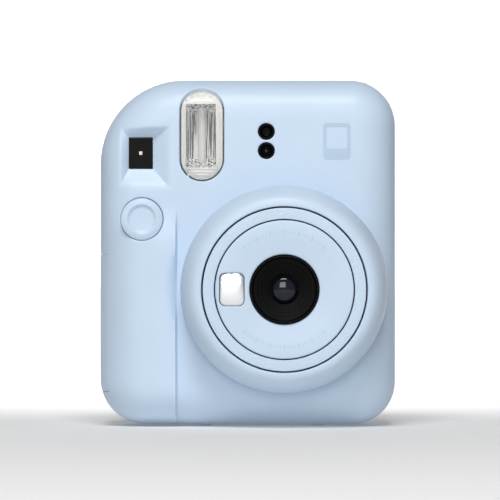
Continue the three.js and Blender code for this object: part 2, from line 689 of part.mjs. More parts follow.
// A tube behind the lens that flares out to the film gate.
function lightBox() {
  const count = 32;
  const round = (radius, y) =>
    Array.from({ length: count }, (_, i) => {
      const angle = (2 * Math.PI * (i + 0.5)) / count;
      return [LENS.x + radius * Math.cos(angle), y, LENS.z + radius * Math.sin(angle)];
    });
  const rectangular = (halfWidth, halfHeight, y) =>
    Array.from({ length: count }, (_, i) => {
      const angle = (2 * Math.PI * (i + 0.5)) / count;
      const [c, s] = [Math.cos(angle), Math.sin(angle)];
      const reach = Math.min(halfWidth / Math.abs(c), halfHeight / Math.abs(s));
      return [LENS.x + reach * c, y, LENS.z + reach * s];
    });
  const [mouthFront, mouthBack, flare, gate] = [-22.5, -8, 8, 9.7];
  const outer = [
    round(23.4, mouthFront),
    round(23.4, mouthBack),
    rectangular(25.5, 33.5, flare),
    rectangular(25.5, 33.5, gate),
  ];
  const inner = [
    round(22.2, mouthFront - 1.5),
    round(22.2, mouthBack),
    rectangular(24, 32, flare),
    rectangular(24, 32, gate + 2.3),
  ];
  return cut(loft(outer), loft(inner));
}

// A spur gear across X, centred at (y, z), with one tooth at the given phase.
function gear(teeth, radius, phase, x0, x1, y, z) {
  const pitch = (2 * Math.PI) / teeth;
  const module = (2 * radius) / teeth;
  const corners = [
    [-0.29, radius - 1.2 * module],
    [-0.11, radius + 0.8 * module],
    [0.11, radius + 0.8 * module],
    [0.29, radius - 1.2 * module],
  ];
  const outline = [];
  for (let tooth = 0; tooth < teeth; tooth++) {
    for (const [offset, reach] of corners) {
      const angle = phase + (tooth + offset) * pitch;
      outline.push([y + reach * Math.cos(angle), z + reach * Math.sin(angle)]);
    }
  }
  const ring = (x) => outline.map(([a, b]) => [x, a, b]);
  return loft([ring(x0), ring(x1)]);
}

// The phase of a gear that meshes with a driving gear in a given direction.
function meshedPhase(phase, teeth, direction, mateTeeth) {
  const offset = (phase - direction) / ((2 * Math.PI) / teeth);
  const fraction = offset - Math.floor(offset);
  return direction + Math.PI - (fraction + 0.5) * ((2 * Math.PI) / mateTeeth);
}

const PLANES = { sync: [-22.7, -20.4], drive: [-26.3, -23.5], plate: [-28.7, -27.2] };
const TEETH = { sync: 14, drive: 24, idler: 30, pinion: 10 };
const DRIVE = { y: FILM.y + ROLLER.spacing / 2, z: ROLLER.z };
const PINCH = { y: FILM.y - ROLLER.spacing / 2, z: ROLLER.z };
const IDLER = { y: DRIVE.y + 1.8, z: DRIVE.z - 16.1 };
const PINION = { y: IDLER.y + 1.5, z: IDLER.z - 11.92 };
const pitchRadius = (teeth) => (GEAR_MODULE * teeth) / 2;

function buildRollers() {
  const [start, end] = [LENS.x - ROLLER.length / 2, LENS.x + ROLLER.length / 2];
  const bracketLeft = LENS.x - ROLLER.length / 2 - 3.2;
  const bracketRight = LENS.x + ROLLER.length / 2 + 1.2;
  const roller = (y, from, parts) =>
    joined(
      rod("x", ROLLER.radius, start, end, y, ROLLER.z, 20),
      rod("x", ROLLER.shaft, from, bracketRight + 3, y, ROLLER.z, 12),
      ...parts,
    );
  const syncRadius = ROLLER.spacing / 2;
  const toPinch = Math.PI;
  const drivePhase = Math.PI;
  const driveGearPhase = Math.atan2(IDLER.z - DRIVE.z, IDLER.y - DRIVE.y);
  const sync = gear(TEETH.sync, syncRadius, drivePhase, ...PLANES.sync, DRIVE.y, DRIVE.z);
  const driveRadius = pitchRadius(TEETH.drive);
  const drive = gear(TEETH.drive, driveRadius, driveGearPhase, ...PLANES.drive, DRIVE.y, DRIVE.z);
  part("drive_roller", roller(DRIVE.y, PLANES.plate[0] - 1.1, [sync, drive]), "rubber");
  const pinchPhase = meshedPhase(drivePhase, TEETH.sync, toPinch, TEETH.sync);
  const pinchGear = gear(TEETH.sync, syncRadius, pinchPhase, ...PLANES.sync, PINCH.y, PINCH.z);
  part("pinch_roller", roller(PINCH.y, PLANES.sync[0] - 0.3, [pinchGear]), "metal");

  for (const [name, x] of [["left", bracketLeft], ["right", bracketRight]]) {
    const bracket = cut(
      box(x, PINCH.y - 4.5, CHAMBER.top + CHAMBER.wall + TOUCH, x + 1.8, DRIVE.y + 4.5, ROLLER.z + 4.6),
      rod("x", ROLLER.shaft + TOUCH / 2, x - 1, x + 3, DRIVE.y, ROLLER.z, 16),
      rod("x", ROLLER.shaft + TOUCH / 2, x - 1, x + 3, PINCH.y, ROLLER.z, 16),
    );
    part(`roller_bracket_${name}`, bracket, "metal");
  }

  const idlerAngle = Math.atan2(DRIVE.z - IDLER.z, DRIVE.y - IDLER.y);
  const idlerPhase = meshedPhase(driveGearPhase, TEETH.drive, idlerAngle + Math.PI, TEETH.idler);
  const idler = gear(TEETH.idler, pitchRadius(TEETH.idler), idlerPhase, ...PLANES.drive, IDLER.y, IDLER.z);
  part("idler_gear", cut(idler, rod("x", 1.25, -30, -20, IDLER.y, IDLER.z, 16)), "gear");
  const pinionAngle = Math.atan2(PINION.z - IDLER.z, PINION.y - IDLER.y);
  const pinionPhase = meshedPhase(idlerPhase, TEETH.idler, pinionAngle, TEETH.pinion);
  const pinionRadius = pitchRadius(TEETH.pinion);
  const pinion = gear(TEETH.pinion, pinionRadius, pinionPhase, ...PLANES.drive, PINION.y, PINION.z);
  part("motor_pinion", joined(pinion, rod("x", 0.8, -30.4, -26, PINION.y, PINION.z, 12)), "gear");

  const [plateLow, plateHigh] = PLANES.plate;
  const plate = cut(
    box(plateLow, 12.5, 72.5, plateHigh, 28, 111),
    rod("x", ROLLER.shaft + TOUCH / 2, -35, -20, DRIVE.y, DRIVE.z, 16),
    rod("x", 1.1, -35, -20, PINION.y, PINION.z, 16),
  );
  const idlerPost = rod("x", 1.05, plateHigh - 0.5, -21.8, IDLER.y, IDLER.z, 12);
  part("gear_plate", joined(plate, idlerPost), "metal");
  const motorCan = rod("x", 6.2, -46.5, plateLow - TOUCH, PINION.y, PINION.z, 24);
  part("film_motor", cut(motorCan, rod("x", 1.1, -31, -28, PINION.y, PINION.z, 16)), "metal");
}

function buildFilmExit() {
  const upright = (halfWidth, halfDepth, bottom, top) =>
    box(LENS.x - halfWidth, FILM.y - halfDepth, bottom, LENS.x + halfWidth, FILM.y + halfDepth, top);
  const liner = cut(
    upright(FILM.width / 2 + 1.6, FILM.slotDepth / 2 + 1, 112.6, BODY.top - GAP),
    upright(FILM.width / 2, FILM.slotDepth / 2, 0, FAR),
  );
  part("film_exit_liner", liner, "black");
  const claw = joined(box(-22.8, 13, 14, -21.4, 17, 46), box(-24.6, 14, 30, -22.6, 16, 34));
  part("film_pick", claw, "metal");
}

// ---------- controls, flash, finder, electronics ----------

function buildShutterButton() {
  const face = BODY.front - BODY.gripProud;
  const { radius, flange, stem } = BUTTON;
  const profile = [
    [0, face + 0.25], [4.6, face - 0.05], [5.6, face - 0.6], [6.5, face - 0.65], [radius, face + 0.2],
    [radius, -11.5], [flange, -11.5], [flange, -10.9], [stem, -10.9], [stem, -6.6], [0, -6.6],
  ];
  part("shutter_button", latheGeometry(profile, 36), "shell", BUTTON.x, 0, BUTTON.z);
  part("shutter_button_spring", coil(3.2, 0.35, 5.4, 4, "y", BUTTON.x, -9.7, BUTTON.z), "spring");
  const board = box(BUTTON.x - 8, -3.6, BUTTON.z - 6, BUTTON.x + 8, -2.4, BUTTON.z + 6);
  const dome = rod("y", 2.2, -4.9, -3.5, BUTTON.x, BUTTON.z, 12);
  part("shutter_switch_board", joined(board, dome), "board");
}

function buildFlash() {
  const pill = prism(centredRectangle(FLASH.x, FLASH.z, FLASH.width, FLASH.height, FLASH.width / 2), -25, 0);
  part("flash_window", common(cut(bodyForm(-FLASH.proud), bodyForm(1.7)), pill), "clear");
  const [halfWidth, halfHeight, mouth, back, wall] = [5.9, 11.6, -10.4, -3.2, 0.6];
  const z = FLASH.z - GAP;
  const block = box(FLASH.x - halfWidth, mouth, z - halfHeight, FLASH.x + halfWidth, back, z + halfHeight);
  const trough = solid(
    new THREE.CylinderGeometry(1, 1, 2 * (halfHeight - wall - 0.1), 28)
      .rotateX(Math.PI / 2)
      .scale(halfWidth - wall, back - mouth - 0.8, 1)
      .translate(FLASH.x, mouth, z),
  );
  part("flash_reflector", cut(block, trough), "mirror");
  part("flash_tube", rod("z", 1.5, z - 10, z + 10, FLASH.x, -6.6, 14), "clear");
  part("flash_capacitor", rod("x", 5.5, 12, 42, -1.5, 110.4, 20), "black");
}

// Two open light tubes on a small board behind the front shell.
function buildSensors() {
  const { x, radius, upper, lower } = SENSOR;
  const [rim, back] = [BODY.front + TOUCH / 2, -11];
  const tubes = [upper, lower].map((z) =>
    cut(rod("y", radius, rim, back, x, z, 20), rod("y", radius - 0.5, rim - 1, rim + 2.2, x, z, 20)),
  );
  const board = box(x - 6, back - 0.2, 92, x + 6, back + 1.2, 109);
  part("sensor_module", joined(board, ...tubes), "black");
}

function buildFinder() {
  const floor = BODY.front + FINDER.depth;
  const centred = (halfWidth, halfHeight, front, back) =>
    box(
      FINDER.x - halfWidth, front, FINDER.z - halfHeight,
      FINDER.x + halfWidth, back, FINDER.z + halfHeight,
    );
  const [paneWidth, paneHeight] = [FINDER.width - TOUCH, FINDER.height - TOUCH];
  part("finder_front_window", centred(paneWidth / 2, paneHeight / 2, floor + 0.5, floor + 2.1), "glass");
  const tunnel = cut(centred(5.6, 7.2, -8.2, 29.2), centred(4.8, 6.4, -FAR, FAR));
  part("finder_tunnel", tunnel, "black");
  const mask = cut(centred(3.2, 5.9, 2, 3), centred(2.4, 4.4, 0, 5));
  part("finder_parallax_mask", mask, "metal");
  const { width, height, front, back } = EYEPIECE;
  const eyepiece = prism(centredRectangle(FINDER.x, FINDER.z, width, height, 1.8), front, back);
  part("finder_eyepiece", eyepiece, "glass");
}

function buildCounter() {
  const disc = joined(
    rod("y", COUNTER.radius, 29, 29.8, COUNTER.x, COUNTER.z, 30),
    rod("y", 1.2, 25, 30.6, COUNTER.x, COUNTER.z, 12),
  );
  part("counter_disc", disc, "gear");
  const pane = centredRectangle(COUNTER.x, COUNTER.z + COUNTER.rise, COUNTER.window, COUNTER.window, 0.8);
  part("counter_window", prism(pane, 31.5, 33), "clear");
}

function buildElectronics() {
  part("main_board", box(-7, 4, 83.5, 43, 5.4, 101), "board");
  part("power_board", box(-30.8, -6, 14, -29.4, 20, 62), "board");
}

buildFrontShell();
buildRearShell();
buildFilmDoor();
buildLatch();
buildBatteries();
buildStrapLugs();
buildScrews();
buildDome();
buildDial();
buildBarrel();
buildOptics();
buildFilmChamber();
buildRollers();
buildFilmExit();
buildShutterButton();
buildFlash();
buildSensors();
buildFinder();
buildCounter();
buildElectronics();

export default camera;
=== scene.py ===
"""Looks of an instant camera: soft pastel plastic, clear flash window, dark lens and film mechanism."""
import json
import math

import bmesh
import bpy
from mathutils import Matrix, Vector
from mathutils.geometry import delaunay_2d_cdt

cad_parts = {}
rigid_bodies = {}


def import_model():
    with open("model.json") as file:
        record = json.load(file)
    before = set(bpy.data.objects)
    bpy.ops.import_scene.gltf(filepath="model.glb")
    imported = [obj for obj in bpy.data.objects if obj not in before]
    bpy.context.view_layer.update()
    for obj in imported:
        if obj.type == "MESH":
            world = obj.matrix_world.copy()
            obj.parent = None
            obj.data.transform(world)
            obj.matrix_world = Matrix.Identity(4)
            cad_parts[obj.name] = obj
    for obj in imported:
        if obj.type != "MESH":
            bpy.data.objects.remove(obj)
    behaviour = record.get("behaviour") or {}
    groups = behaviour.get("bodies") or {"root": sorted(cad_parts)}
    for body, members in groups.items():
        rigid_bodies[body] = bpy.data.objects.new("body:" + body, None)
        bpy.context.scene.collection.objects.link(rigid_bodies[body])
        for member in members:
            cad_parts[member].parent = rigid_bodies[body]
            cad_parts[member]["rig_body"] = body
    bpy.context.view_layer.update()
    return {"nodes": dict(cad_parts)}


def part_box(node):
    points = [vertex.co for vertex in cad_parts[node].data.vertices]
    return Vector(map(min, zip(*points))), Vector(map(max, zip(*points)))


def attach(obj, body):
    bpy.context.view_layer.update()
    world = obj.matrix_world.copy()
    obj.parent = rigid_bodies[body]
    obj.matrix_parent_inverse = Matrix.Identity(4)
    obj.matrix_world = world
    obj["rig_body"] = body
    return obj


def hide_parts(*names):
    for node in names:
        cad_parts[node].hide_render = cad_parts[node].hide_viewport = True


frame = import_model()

MM = 0.001
TURN = 2 * math.pi


# ---------- places taken from the frame, in millimetres ----------

def span(node):
    """Lowest and highest corner of a CAD node."""
    low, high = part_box(node)
    return Vector(low) / MM, Vector(high) / MM


def middle(node):
    """Centre of a CAD node."""
    low, high = span(node)
    return (low + high) / 2


BODY_LOW, BODY_HIGH = span("front_shell")[0], span("rear_shell")[1]
SEAM_FRONT, SEAM_BACK = span("front_shell")[1].y, span("rear_shell")[0].y
BOTTOM = 0.7
FRONT_ROUND, BACK_ROUND = 13.0, 11.0
# Depths at which the rounded edges of the front and the back begin.
FRONT_EDGE, BACK_EDGE = -2.3, BODY_HIGH.y - BACK_ROUND
CORNER_RADII = [16, 29.7, 16, 15]
WALL = 2.0
# The grip: its inner edge, the height of its ridge, its fall to the side, and where it fades out.
GRIP = {"edge": -25.0, "rise": 2.5, "fall": 2.2, "ridge": -29.0, "full": 65.0, "gone": 77.0}
EDGE_FILLET = 0.4
PLAY = 0.25
COVER_PLAY = 0.12
# Reach of the blocks that only cut, past both sides of the body, and heights of the exit slot's block.
FAR = 60.0
EXIT_CUT = (110, 130)
FOOT_XS, FOOT_YS = (-15.1, 24.9), (0, 21)
LENS = middle("lens_dial")
DOME_LOW, DOME_HIGH = span("lens_dome")
DOME_RADIUS = (DOME_HIGH.x - DOME_LOW.x) / 2
BUTTON = middle("shutter_button")
FINDER = middle("finder_front_window")


# ---------- outlines in the X-Z plane ----------

class Outline:
    """A rectangle with a radius for each corner: upper right, upper left, lower left, lower right."""

    def __init__(self, left, bottom, right, top, radii):
        self.left, self.bottom, self.right, self.top = left, bottom, right, top
        self.radii = radii if isinstance(radii, (list, tuple)) else [radii] * 4

    def corners(self):
        """Centre, radius and direction of each corner."""
        signs = [(1, 1), (-1, 1), (-1, -1), (1, -1)]
        for (side, up), radius in zip(signs, self.radii):
            x = self.right - radius if side > 0 else self.left + radius
            z = self.top - radius if up > 0 else self.bottom + radius
            yield x, z, radius, side, up

    def inset(self, x, z):
        """How far a point lies inside the outline, negative outside."""
        for cx, cz, radius, side, up in self.corners():
            if side * (x - cx) > 0 and up * (z - cz) > 0:
                return radius - math.hypot(x - cx, z - cz)
        return min(x - self.left, self.right - x, z - self.bottom, self.top - z)

    def outward(self, x, z):
        """Direction from a point straight to the nearest stretch of the outline."""
        for cx, cz, _, side, up in self.corners():
            if side * (x - cx) > 0 and up * (z - cz) > 0:
                return Vector((x - cx, z - cz)).normalized()
        gaps = {
            (-1, 0): x - self.left,
            (1, 0): self.right - x,
            (0, -1): z - self.bottom,
            (0, 1): self.top - z,
        }
        return Vector(min(gaps, key=gaps.get))

    def ring(self, inset=0.0, step=1.5):
        """Points along the outline drawn in by an inset, the same number whatever the inset."""
        points = []
        corners = list(self.corners())
        for i, (cx, cz, radius, _, _) in enumerate(corners):
            count = max(3, math.ceil(radius * math.pi / 2 / step))
            arc = max(radius - inset, 0.0)
            for k in range(count + 1):
                angle = (i + k / count) * math.pi / 2
                points.append((cx + arc * math.cos(angle), cz + arc * math.sin(angle)))
            nx, nz, next_radius, _, _ = corners[(i + 1) % 4]
            end = (i + 1) * math.pi / 2
            reach = max(next_radius - inset, 0.0)
            target = (nx + reach * math.cos(end), nz + reach * math.sin(end))
            start = points[-1]
            length = math.hypot(nx - cx, nz - cz)
            pieces = max(1, math.ceil(length / step))
            for k in range(1, pieces):
                share = k / pieces
                x = start[0] + (target[0] - start[0]) * share
                z = start[1] + (target[1] - start[1]) * share
                points.append((x, z))
        return points


def circle(x, z, radius):
    return Outline(x - radius, z - radius, x + radius, z + radius, radius)


def centred(centre, half_width, half_height, radius):
    """An outline round a centre."""
    left, bottom = centre.x - half_width, centre.z - half_height
    return Outline(left, bottom, centre.x + half_width, centre.z + half_height, radius)


def grown(outline, margin):
    """An outline moved outwards by a margin."""
    radii = [max(radius + margin, 0.05) for radius in outline.radii]
    left, bottom = outline.left - margin, outline.bottom - margin
    right, top = outline.right + margin, outline.top + margin
    return Outline(left, bottom, right, top, radii)


def node_outline(node, play=0.0, radius=1.5):
    """The outline of a CAD node seen from the front, with some play round it."""
    low, high = span(node)
    return Outline(low.x - play, low.z - play, high.x + play, high.z + play, radius)


def smoothstep(low, high, value):
    """0 below low, 1 above high, and a smooth rise between."""
    share = min(max((value - low) / (high - low), 0.0), 1.0)
    return share * share * (3 - 2 * share)


def bulge(distance, radius):
    """Height of a quarter-round edge of that radius at a distance inside the outline."""
    reach = radius - min(max(distance, 0.0), radius)
    return math.sqrt(max(radius ** 2 - reach ** 2, 0.0))


def rounding(distance, radius=EDGE_FILLET):
    """How far a surface falls off at a distance inside its rounded edge."""
    return radius - bulge(distance, radius)


def band(near, far):
    """Faces between two closed rows of points."""
    following = [*range(1, len(near)), 0]
    return [[near[k], near[n], far[n], far[k]] for k, n in enumerate(following)]


BODY = Outline(BODY_LOW.x, BOTTOM, BODY_HIGH.x, BODY_HIGH.z, CORNER_RADII)


# ---------- meshes ----------

def mesh_object(name, points, faces, material, body, smooth_angle=40, replaces=()):
    """An object from points in millimetres; its faces are turned outwards."""
    mesh = bpy.data.meshes.new(name)
    mesh.from_pydata([Vector(p) * MM for p in points], [], faces)
    tidy = bmesh.new()
    tidy.from_mesh(mesh)
    bmesh.ops.remove_doubles(tidy, verts=tidy.verts, dist=1e-7)
    bmesh.ops.recalc_face_normals(tidy, faces=tidy.faces)
    tidy.to_mesh(mesh)
    tidy.free()
    return finish_object(name, mesh, material, body, smooth_angle, replaces)


def finish_object(name, mesh, material, body, smooth_angle=40, replaces=()):
    mesh.materials.clear()
    mesh.materials.append(material)
    mesh.shade_smooth()
    mesh.set_sharp_from_angle(angle=math.radians(smooth_angle))
    piece = bpy.data.objects.new(name, mesh)
    bpy.context.scene.collection.objects.link(piece)
    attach(piece, body)
    if replaces:
        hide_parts(*replaces)
    return piece


def rounded_profile(corners, steps=5):
    """A closed [radius, y] profile whose corners carry a fillet radius as a third number."""
    points = []
    for i, corner in enumerate(corners):
        here = Vector(corner[:2])
        fillet = corner[2] if len(corner) > 2 else 0
        if fillet <= 0:
            points.append(tuple(here))
            continue
        before = (Vector(corners[i - 1][:2]) - here).normalized()
        after = (Vector(corners[(i + 1) % len(corners)][:2]) - here).normalized()
        half = before.angle(after) / 2
        if half > math.radians(88):
            points.append(tuple(here))
            continue
        centre = here + (before + after).normalized() * fillet / math.sin(half)
        start = here + before * fillet / math.tan(half) - centre
        end = here + after * fillet / math.tan(half) - centre
        sweep = start.angle(end)
        for k in range(steps + 1):
            share = k / steps
            blend = (start * math.sin((1 - share) * sweep) + end * math.sin(share * sweep)) / math.sin(sweep)
            points.append(tuple(centre + blend))
    return points


def lathe_points(profile, x, z, segments):
    """Points and faces of a closed profile turned about a line along Y."""
    points, faces, rows = [], [], []
    for radius, y in profile:
        if radius < 1e-6:
            rows.append([len(points)] * segments)
            points.append((x, y, z))
            continue
        rows.append(list(range(len(points), len(points) + segments)))
        for k in range(segments):
            angle = TURN * k / segments
            points.append((x + radius * math.cos(angle), y, z + radius * math.sin(angle)))
    for row, following in zip(rows, rows[1:] + rows[:1]):
        for corners in band(row, following):
            face = list(dict.fromkeys(corners))
            if len(face) > 2:
                faces.append(face)
    return points, faces


def lathe(name, profile, x, z, material, body, segments=144, smooth_angle=35, replaces=()):
    points, faces = lathe_points(profile, x, z, segments)
    return mesh_object(name, points, faces, material, body, smooth_angle, replaces)


FILLET_RINGS = (0.06, 0.18, 0.4, 0.9)


def skin_layout(outline, openings, lines, rings, grid):
    """Flat points over a plate, its fixed edges as pairs of point numbers, and its border's length."""
    flat, edges = [], []

    def add_line(points, closed):
        first = len(flat)
        flat.extend(points)
        last = len(flat)
        edges.extend((i, i + 1) for i in range(first, last - 1))
        if closed:
            edges.append((last - 1, first))

    def clear(x, z, margin):
        if any(-opening.inset(x, z) < margin for opening in openings):
            return False
        return all(line_distance(line, x, z) > margin * 0.6 for line in lines)

    add_line(outline.ring(0.0), True)
    border_length = len(flat)
    for opening in openings:
        step = 0.5 if opening.right - opening.left < 14 else 1.0
        add_line(opening.ring(0.0, step), True)
        for fillet in FILLET_RINGS:
            flat.extend(p for p in opening.ring(-fillet, step) if outline.inset(*p) > 0.05)
    for line in lines:
        add_line(line, False)
    for inset in rings[1:]:
        flat.extend(p for p in outline.ring(inset) if clear(*p, 1.1))
    inner_limit = rings[-1] + grid * 0.6
    for i in range(math.floor((outline.right - outline.left) / grid) + 1):
        for k in range(math.floor((outline.top - outline.bottom) / grid) + 1):
            x = outline.left + (i + 0.5 * (k % 2)) * grid
            z = outline.bottom + k * grid
            if outline.inset(x, z) > inner_limit and clear(x, z, 1.3):
                flat.append((x, z))
    return flat, edges, border_length


def skin_triangles(flat, edges, border_length, outline, openings):
    """Triangles over a plate, less its openings: their points, corners and the numbers of the border."""
    flat = [Vector(p) for p in flat]
    placed, _, triangles, origins, _, _ = delaunay_2d_cdt(flat, edges, [], 0, 1e-5)
    kept = []
    for triangle in triangles:
        x = sum(placed[i][0] for i in triangle) / 3
        z = sum(placed[i][1] for i in triangle) / 3
        if outline.inset(x, z) > 0 and all(opening.inset(x, z) < 0 for opening in openings):
            kept.append(triangle)
    used = sorted({i for triangle in kept for i in triangle})
    number = {old: new for new, old in enumerate(used)}
    place_of = {}
    for placed_number, sources in enumerate(origins):
        if placed_number in number:
            place_of.update({source: number[placed_number] for source in sources})
    kept = [[number[i] for i in triangle] for triangle in kept]
    return [tuple(placed[i]) for i in used], kept, [place_of[i] for i in range(border_length)]


def opening_walls(triangles, border, count):
    """Faces round the openings, between the outer points and the inner ones that follow them."""
    border_edges = {frozenset(pair) for pair in zip(border, border[1:] + border[:1])}
    uses = {}
    for triangle in triangles:
        for a, b in zip(triangle, triangle[1:] + triangle[:1]):
            uses.setdefault(frozenset((a, b)), []).append((a, b))
    walls = []
    for edge, directions in uses.items():
        if len(directions) == 1 and edge not in border_edges:
            a, b = directions[0]
            walls.append([b, a, a + count, b + count])
    return walls


def skin(name, outline, surface, thickness, material, body, openings=(), lines=(), rings=(0.0,),
         tail=(), grid=1.6, replaces=(), smooth_angle=35):
    """A closed plate over an outline in the X-Z plane.

    surface gives the outer point over (x, z), and thickness the inner one. rings are insets at which
    the plate gets a ring of points, lines are crease lines, and tail continues the plate's edge from its
    outer to its inner face as (inset, y) rings.
    """
    flat, edges, border_length = skin_layout(outline, openings, lines, rings, grid)
    places, triangles, border = skin_triangles(flat, edges, border_length, outline, openings)
    count = len(places)
    points = [surface(*place) for place in places]
    points += [thickness(*place, outer) for place, outer in zip(places, points)]
    faces = triangles + [[i + count for i in reversed(triangle)] for triangle in triangles]
    faces += opening_walls(triangles, border, count)

    chain = [border]
    for inset, y in tail:
        start = len(points)
        points.extend((x, y, z) for x, z in outline.ring(inset))
        chain.append(list(range(start, len(points))))
    chain.append([i + count for i in border])
    for near, far in zip(chain, chain[1:]):
        faces += band(near, far)
    return mesh_object(name, points, faces, material, body, smooth_angle, replaces)


def line_distance(line, x, z):
    """Shortest distance from a point to a line of points."""
    here = Vector((x, z))
    nearest = 1e9
    for a, b in zip(line, line[1:]):
        start, along = Vector(a), Vector(b) - Vector(a)
        share = min(max((here - start).dot(along) / along.length_squared, 0), 1)
        nearest = min(nearest, (here - start - along * share).length)
    return nearest


def straight(a, b, step=1.2):
    """Points from a to b in the X-Z plane."""
    pieces = max(1, math.ceil(math.dist(a, b) / step))
    return [(a[0] + (b[0] - a[0]) * k / pieces, a[1] + (b[1] - a[1]) * k / pieces) for k in range(pieces + 1)]


def block_mesh(name, low, high, bevel=0.0):
    """A block between two corners, with rounded edges where it has a bevel."""
    mesh = bpy.data.meshes.new(name)
    shape = bmesh.new()
    bmesh.ops.create_cube(shape, size=1)
    for vert in shape.verts:
        for axis in range(3):
            vert.co[axis] = (low[axis] if vert.co[axis] < 0 else high[axis]) * MM
    if bevel:
        edges = shape.edges[:]
        bmesh.ops.bevel(shape, geom=edges, offset=bevel * MM, segments=3, affect="EDGES", profile=0.5)
        bmesh.ops.recalc_face_normals(shape, faces=shape.faces)
    shape.to_mesh(mesh)
    shape.free()
    return mesh


def box_object(name, low, high, material, body, bevel=0.3, replaces=()):
    """A block with rounded edges."""
    return finish_object(name, block_mesh(name, low, high, bevel), material, body, 40, replaces)


def rod_object(name, start, end, radius, material, body, sides=32, bevel=0.15, replaces=()):
    """A cylinder between two points, with rounded ends."""
    axis = Vector(end) - Vector(start)
    length = axis.length
    ease = bevel * 0.3
    profile = [
        (0, 0), (radius - bevel, 0), (radius - ease, ease), (radius, bevel),
        (radius, length - bevel), (radius - ease, length - ease), (radius - bevel, length), (0, length),
    ]
    points, faces = lathe_points(profile, 0, 0, sides)
    turn = Vector((0, 1, 0)).rotation_difference(axis)
    points = [Vector(start) + turn @ Vector(p) for p in points]
    return mesh_object(name, points, faces, material, body, 35, replaces)


def softened(node, material, width=0.25):
    """A copy of a CAD node with its sharp edges rounded."""
    mesh = frame["nodes"][node].data.copy()
    body = frame["nodes"][node]["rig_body"]
    piece = finish_object(node + "_soft", mesh, material, body, 35, (node,))
    modifier = piece.modifiers.new("edges", "BEVEL")
    modifier.width = width * MM
    modifier.segments = 2
    modifier.limit_method = "ANGLE"
    modifier.angle_limit = math.radians(50)
    return piece


def helix(name, start, axis, radius, wire, length, turns, material, body, replaces=()):
    """A coil spring along Y or Z."""
    points, faces = [], []
    steps, sides = turns * 24, 8
    for i in range(steps + 1):
        angle = TURN * turns * i / steps
        along = length * i / steps
        for k in range(sides):
            side = TURN * k / sides
            reach = radius + wire * math.cos(side)
            a, b = reach * math.cos(angle), reach * math.sin(angle)
            c = along + wire * math.sin(side)
            offset = Vector((a, b, c)) if axis == "z" else Vector((a, c, b))
            points.append(Vector(start) + offset)
    rows = [list(range(i * sides, (i + 1) * sides)) for i in range(steps + 1)]
    for near, far in zip(rows, rows[1:]):
        faces += band(near, far)
    faces += [rows[0], rows[-1]]
    return mesh_object(name, points, faces, material, body, 60, replaces)


def cutter(low, high):
    """A block that only cuts other pieces."""
    block = bpy.data.objects.new("cutter", block_mesh("cutter", low, high))
    bpy.context.scene.collection.objects.link(block)
    return block


def carve(piece, *blocks):
    """Cuts blocks out of a piece, and removes the blocks."""
    for block in blocks:
        modifier = piece.modifiers.new("cut", "BOOLEAN")
        modifier.operation = "DIFFERENCE"
        modifier.solver = "EXACT"
        modifier.object = block
    depsgraph = bpy.context.evaluated_depsgraph_get()
    carved = bpy.data.meshes.new_from_object(piece.evaluated_get(depsgraph))
    piece.modifiers.clear()
    piece.data = carved
    for block in blocks:
        bpy.data.objects.remove(block)


# ---------- materials ----------

class Nodes:
    """A small helper to wire up a procedural material."""

    def __init__(self, name):
        self.material = bpy.data.materials.new(name)
        self.material.use_nodes = True
        self.tree = self.material.node_tree
        self.shader = self.tree.nodes["Principled BSDF"]
        self.place = self.tree.nodes.new("ShaderNodeTexCoord").outputs["Object"]

    def fill(self, made, inputs):
        """Sets or links a node's inputs by name, where an underscore stands for a space."""
        for key, value in inputs.items():
            socket = made.inputs[key.replace("_", " ")]
            if isinstance(value, bpy.types.NodeSocket):
                self.tree.links.new(value, socket)
            else:
                socket.default_value = value

    def node(self, kind, **inputs):
        made = self.tree.nodes.new(kind)
        self.fill(made, inputs)
        return made

    def set(self, **inputs):
        """Sets or links the shader's own inputs."""
        self.fill(self.shader, inputs)

    def math(self, operation, value, other=0.5):
        made = self.tree.nodes.new("ShaderNodeMath")
        made.operation = operation
        self.tree.links.new(value, made.inputs[0])
        made.inputs[1].default_value = other
        return made.outputs[0]

    def noise(self, scale, detail=2.0):
        return self.node("ShaderNodeTexNoise", Vector=self.place, Scale=scale, Detail=detail).outputs["Fac"]

    def ramp(self, value, low, high, start=0.0, end=1.0):
        made = self.node("ShaderNodeValToRGB", Fac=value)
        first, last = made.color_ramp.elements
        first.position, last.position = start, end
        first.color, last.color = (*low, 1), (*high, 1)
        return made.outputs["Color"]

    def streaks(self, scale, detail, squeeze):
        """Noise drawn out along Z by a squeeze below 1."""
        stretch = self.node("ShaderNodeMapping", Vector=self.place, Scale=(1, 1, squeeze))
        place = stretch.outputs["Vector"]
        return self.node("ShaderNodeTexNoise", Vector=place, Scale=scale, Detail=detail).outputs["Fac"]

    def remap(self, value, low, high):
        return self.node("ShaderNodeMapRange", Value=value, To_Min=low, To_Max=high).outputs["Result"]

    def bump(self, height, strength, distance):
        made = self.node("ShaderNodeBump", Height=height, Strength=strength, Distance=distance)
        return made.outputs["Normal"]


def shade(colour, factor):
    """A colour made lighter or darker."""
    return tuple(min(c * factor, 1.0) for c in colour)


def plastic(name, colour, roughness, grain=0.05, grain_scale=1800.0, specular=0.4, depth=0.0001):
    """Moulded plastic: a fine grain, and slight drifts of tone and gloss."""
    nodes = Nodes(name)
    drift = nodes.noise(60.0, 1.0)
    fine = nodes.noise(grain_scale, 2.0)
    nodes.set(
        Base_Color=nodes.ramp(drift, shade(colour, 0.985), shade(colour, 1.015), 0.3, 0.7),
        Roughness=nodes.remap(fine, roughness - 0.05, roughness + 0.05),
        Normal=nodes.bump(fine, grain, depth),
        Specular_IOR_Level=specular,
    )
    return nodes.material


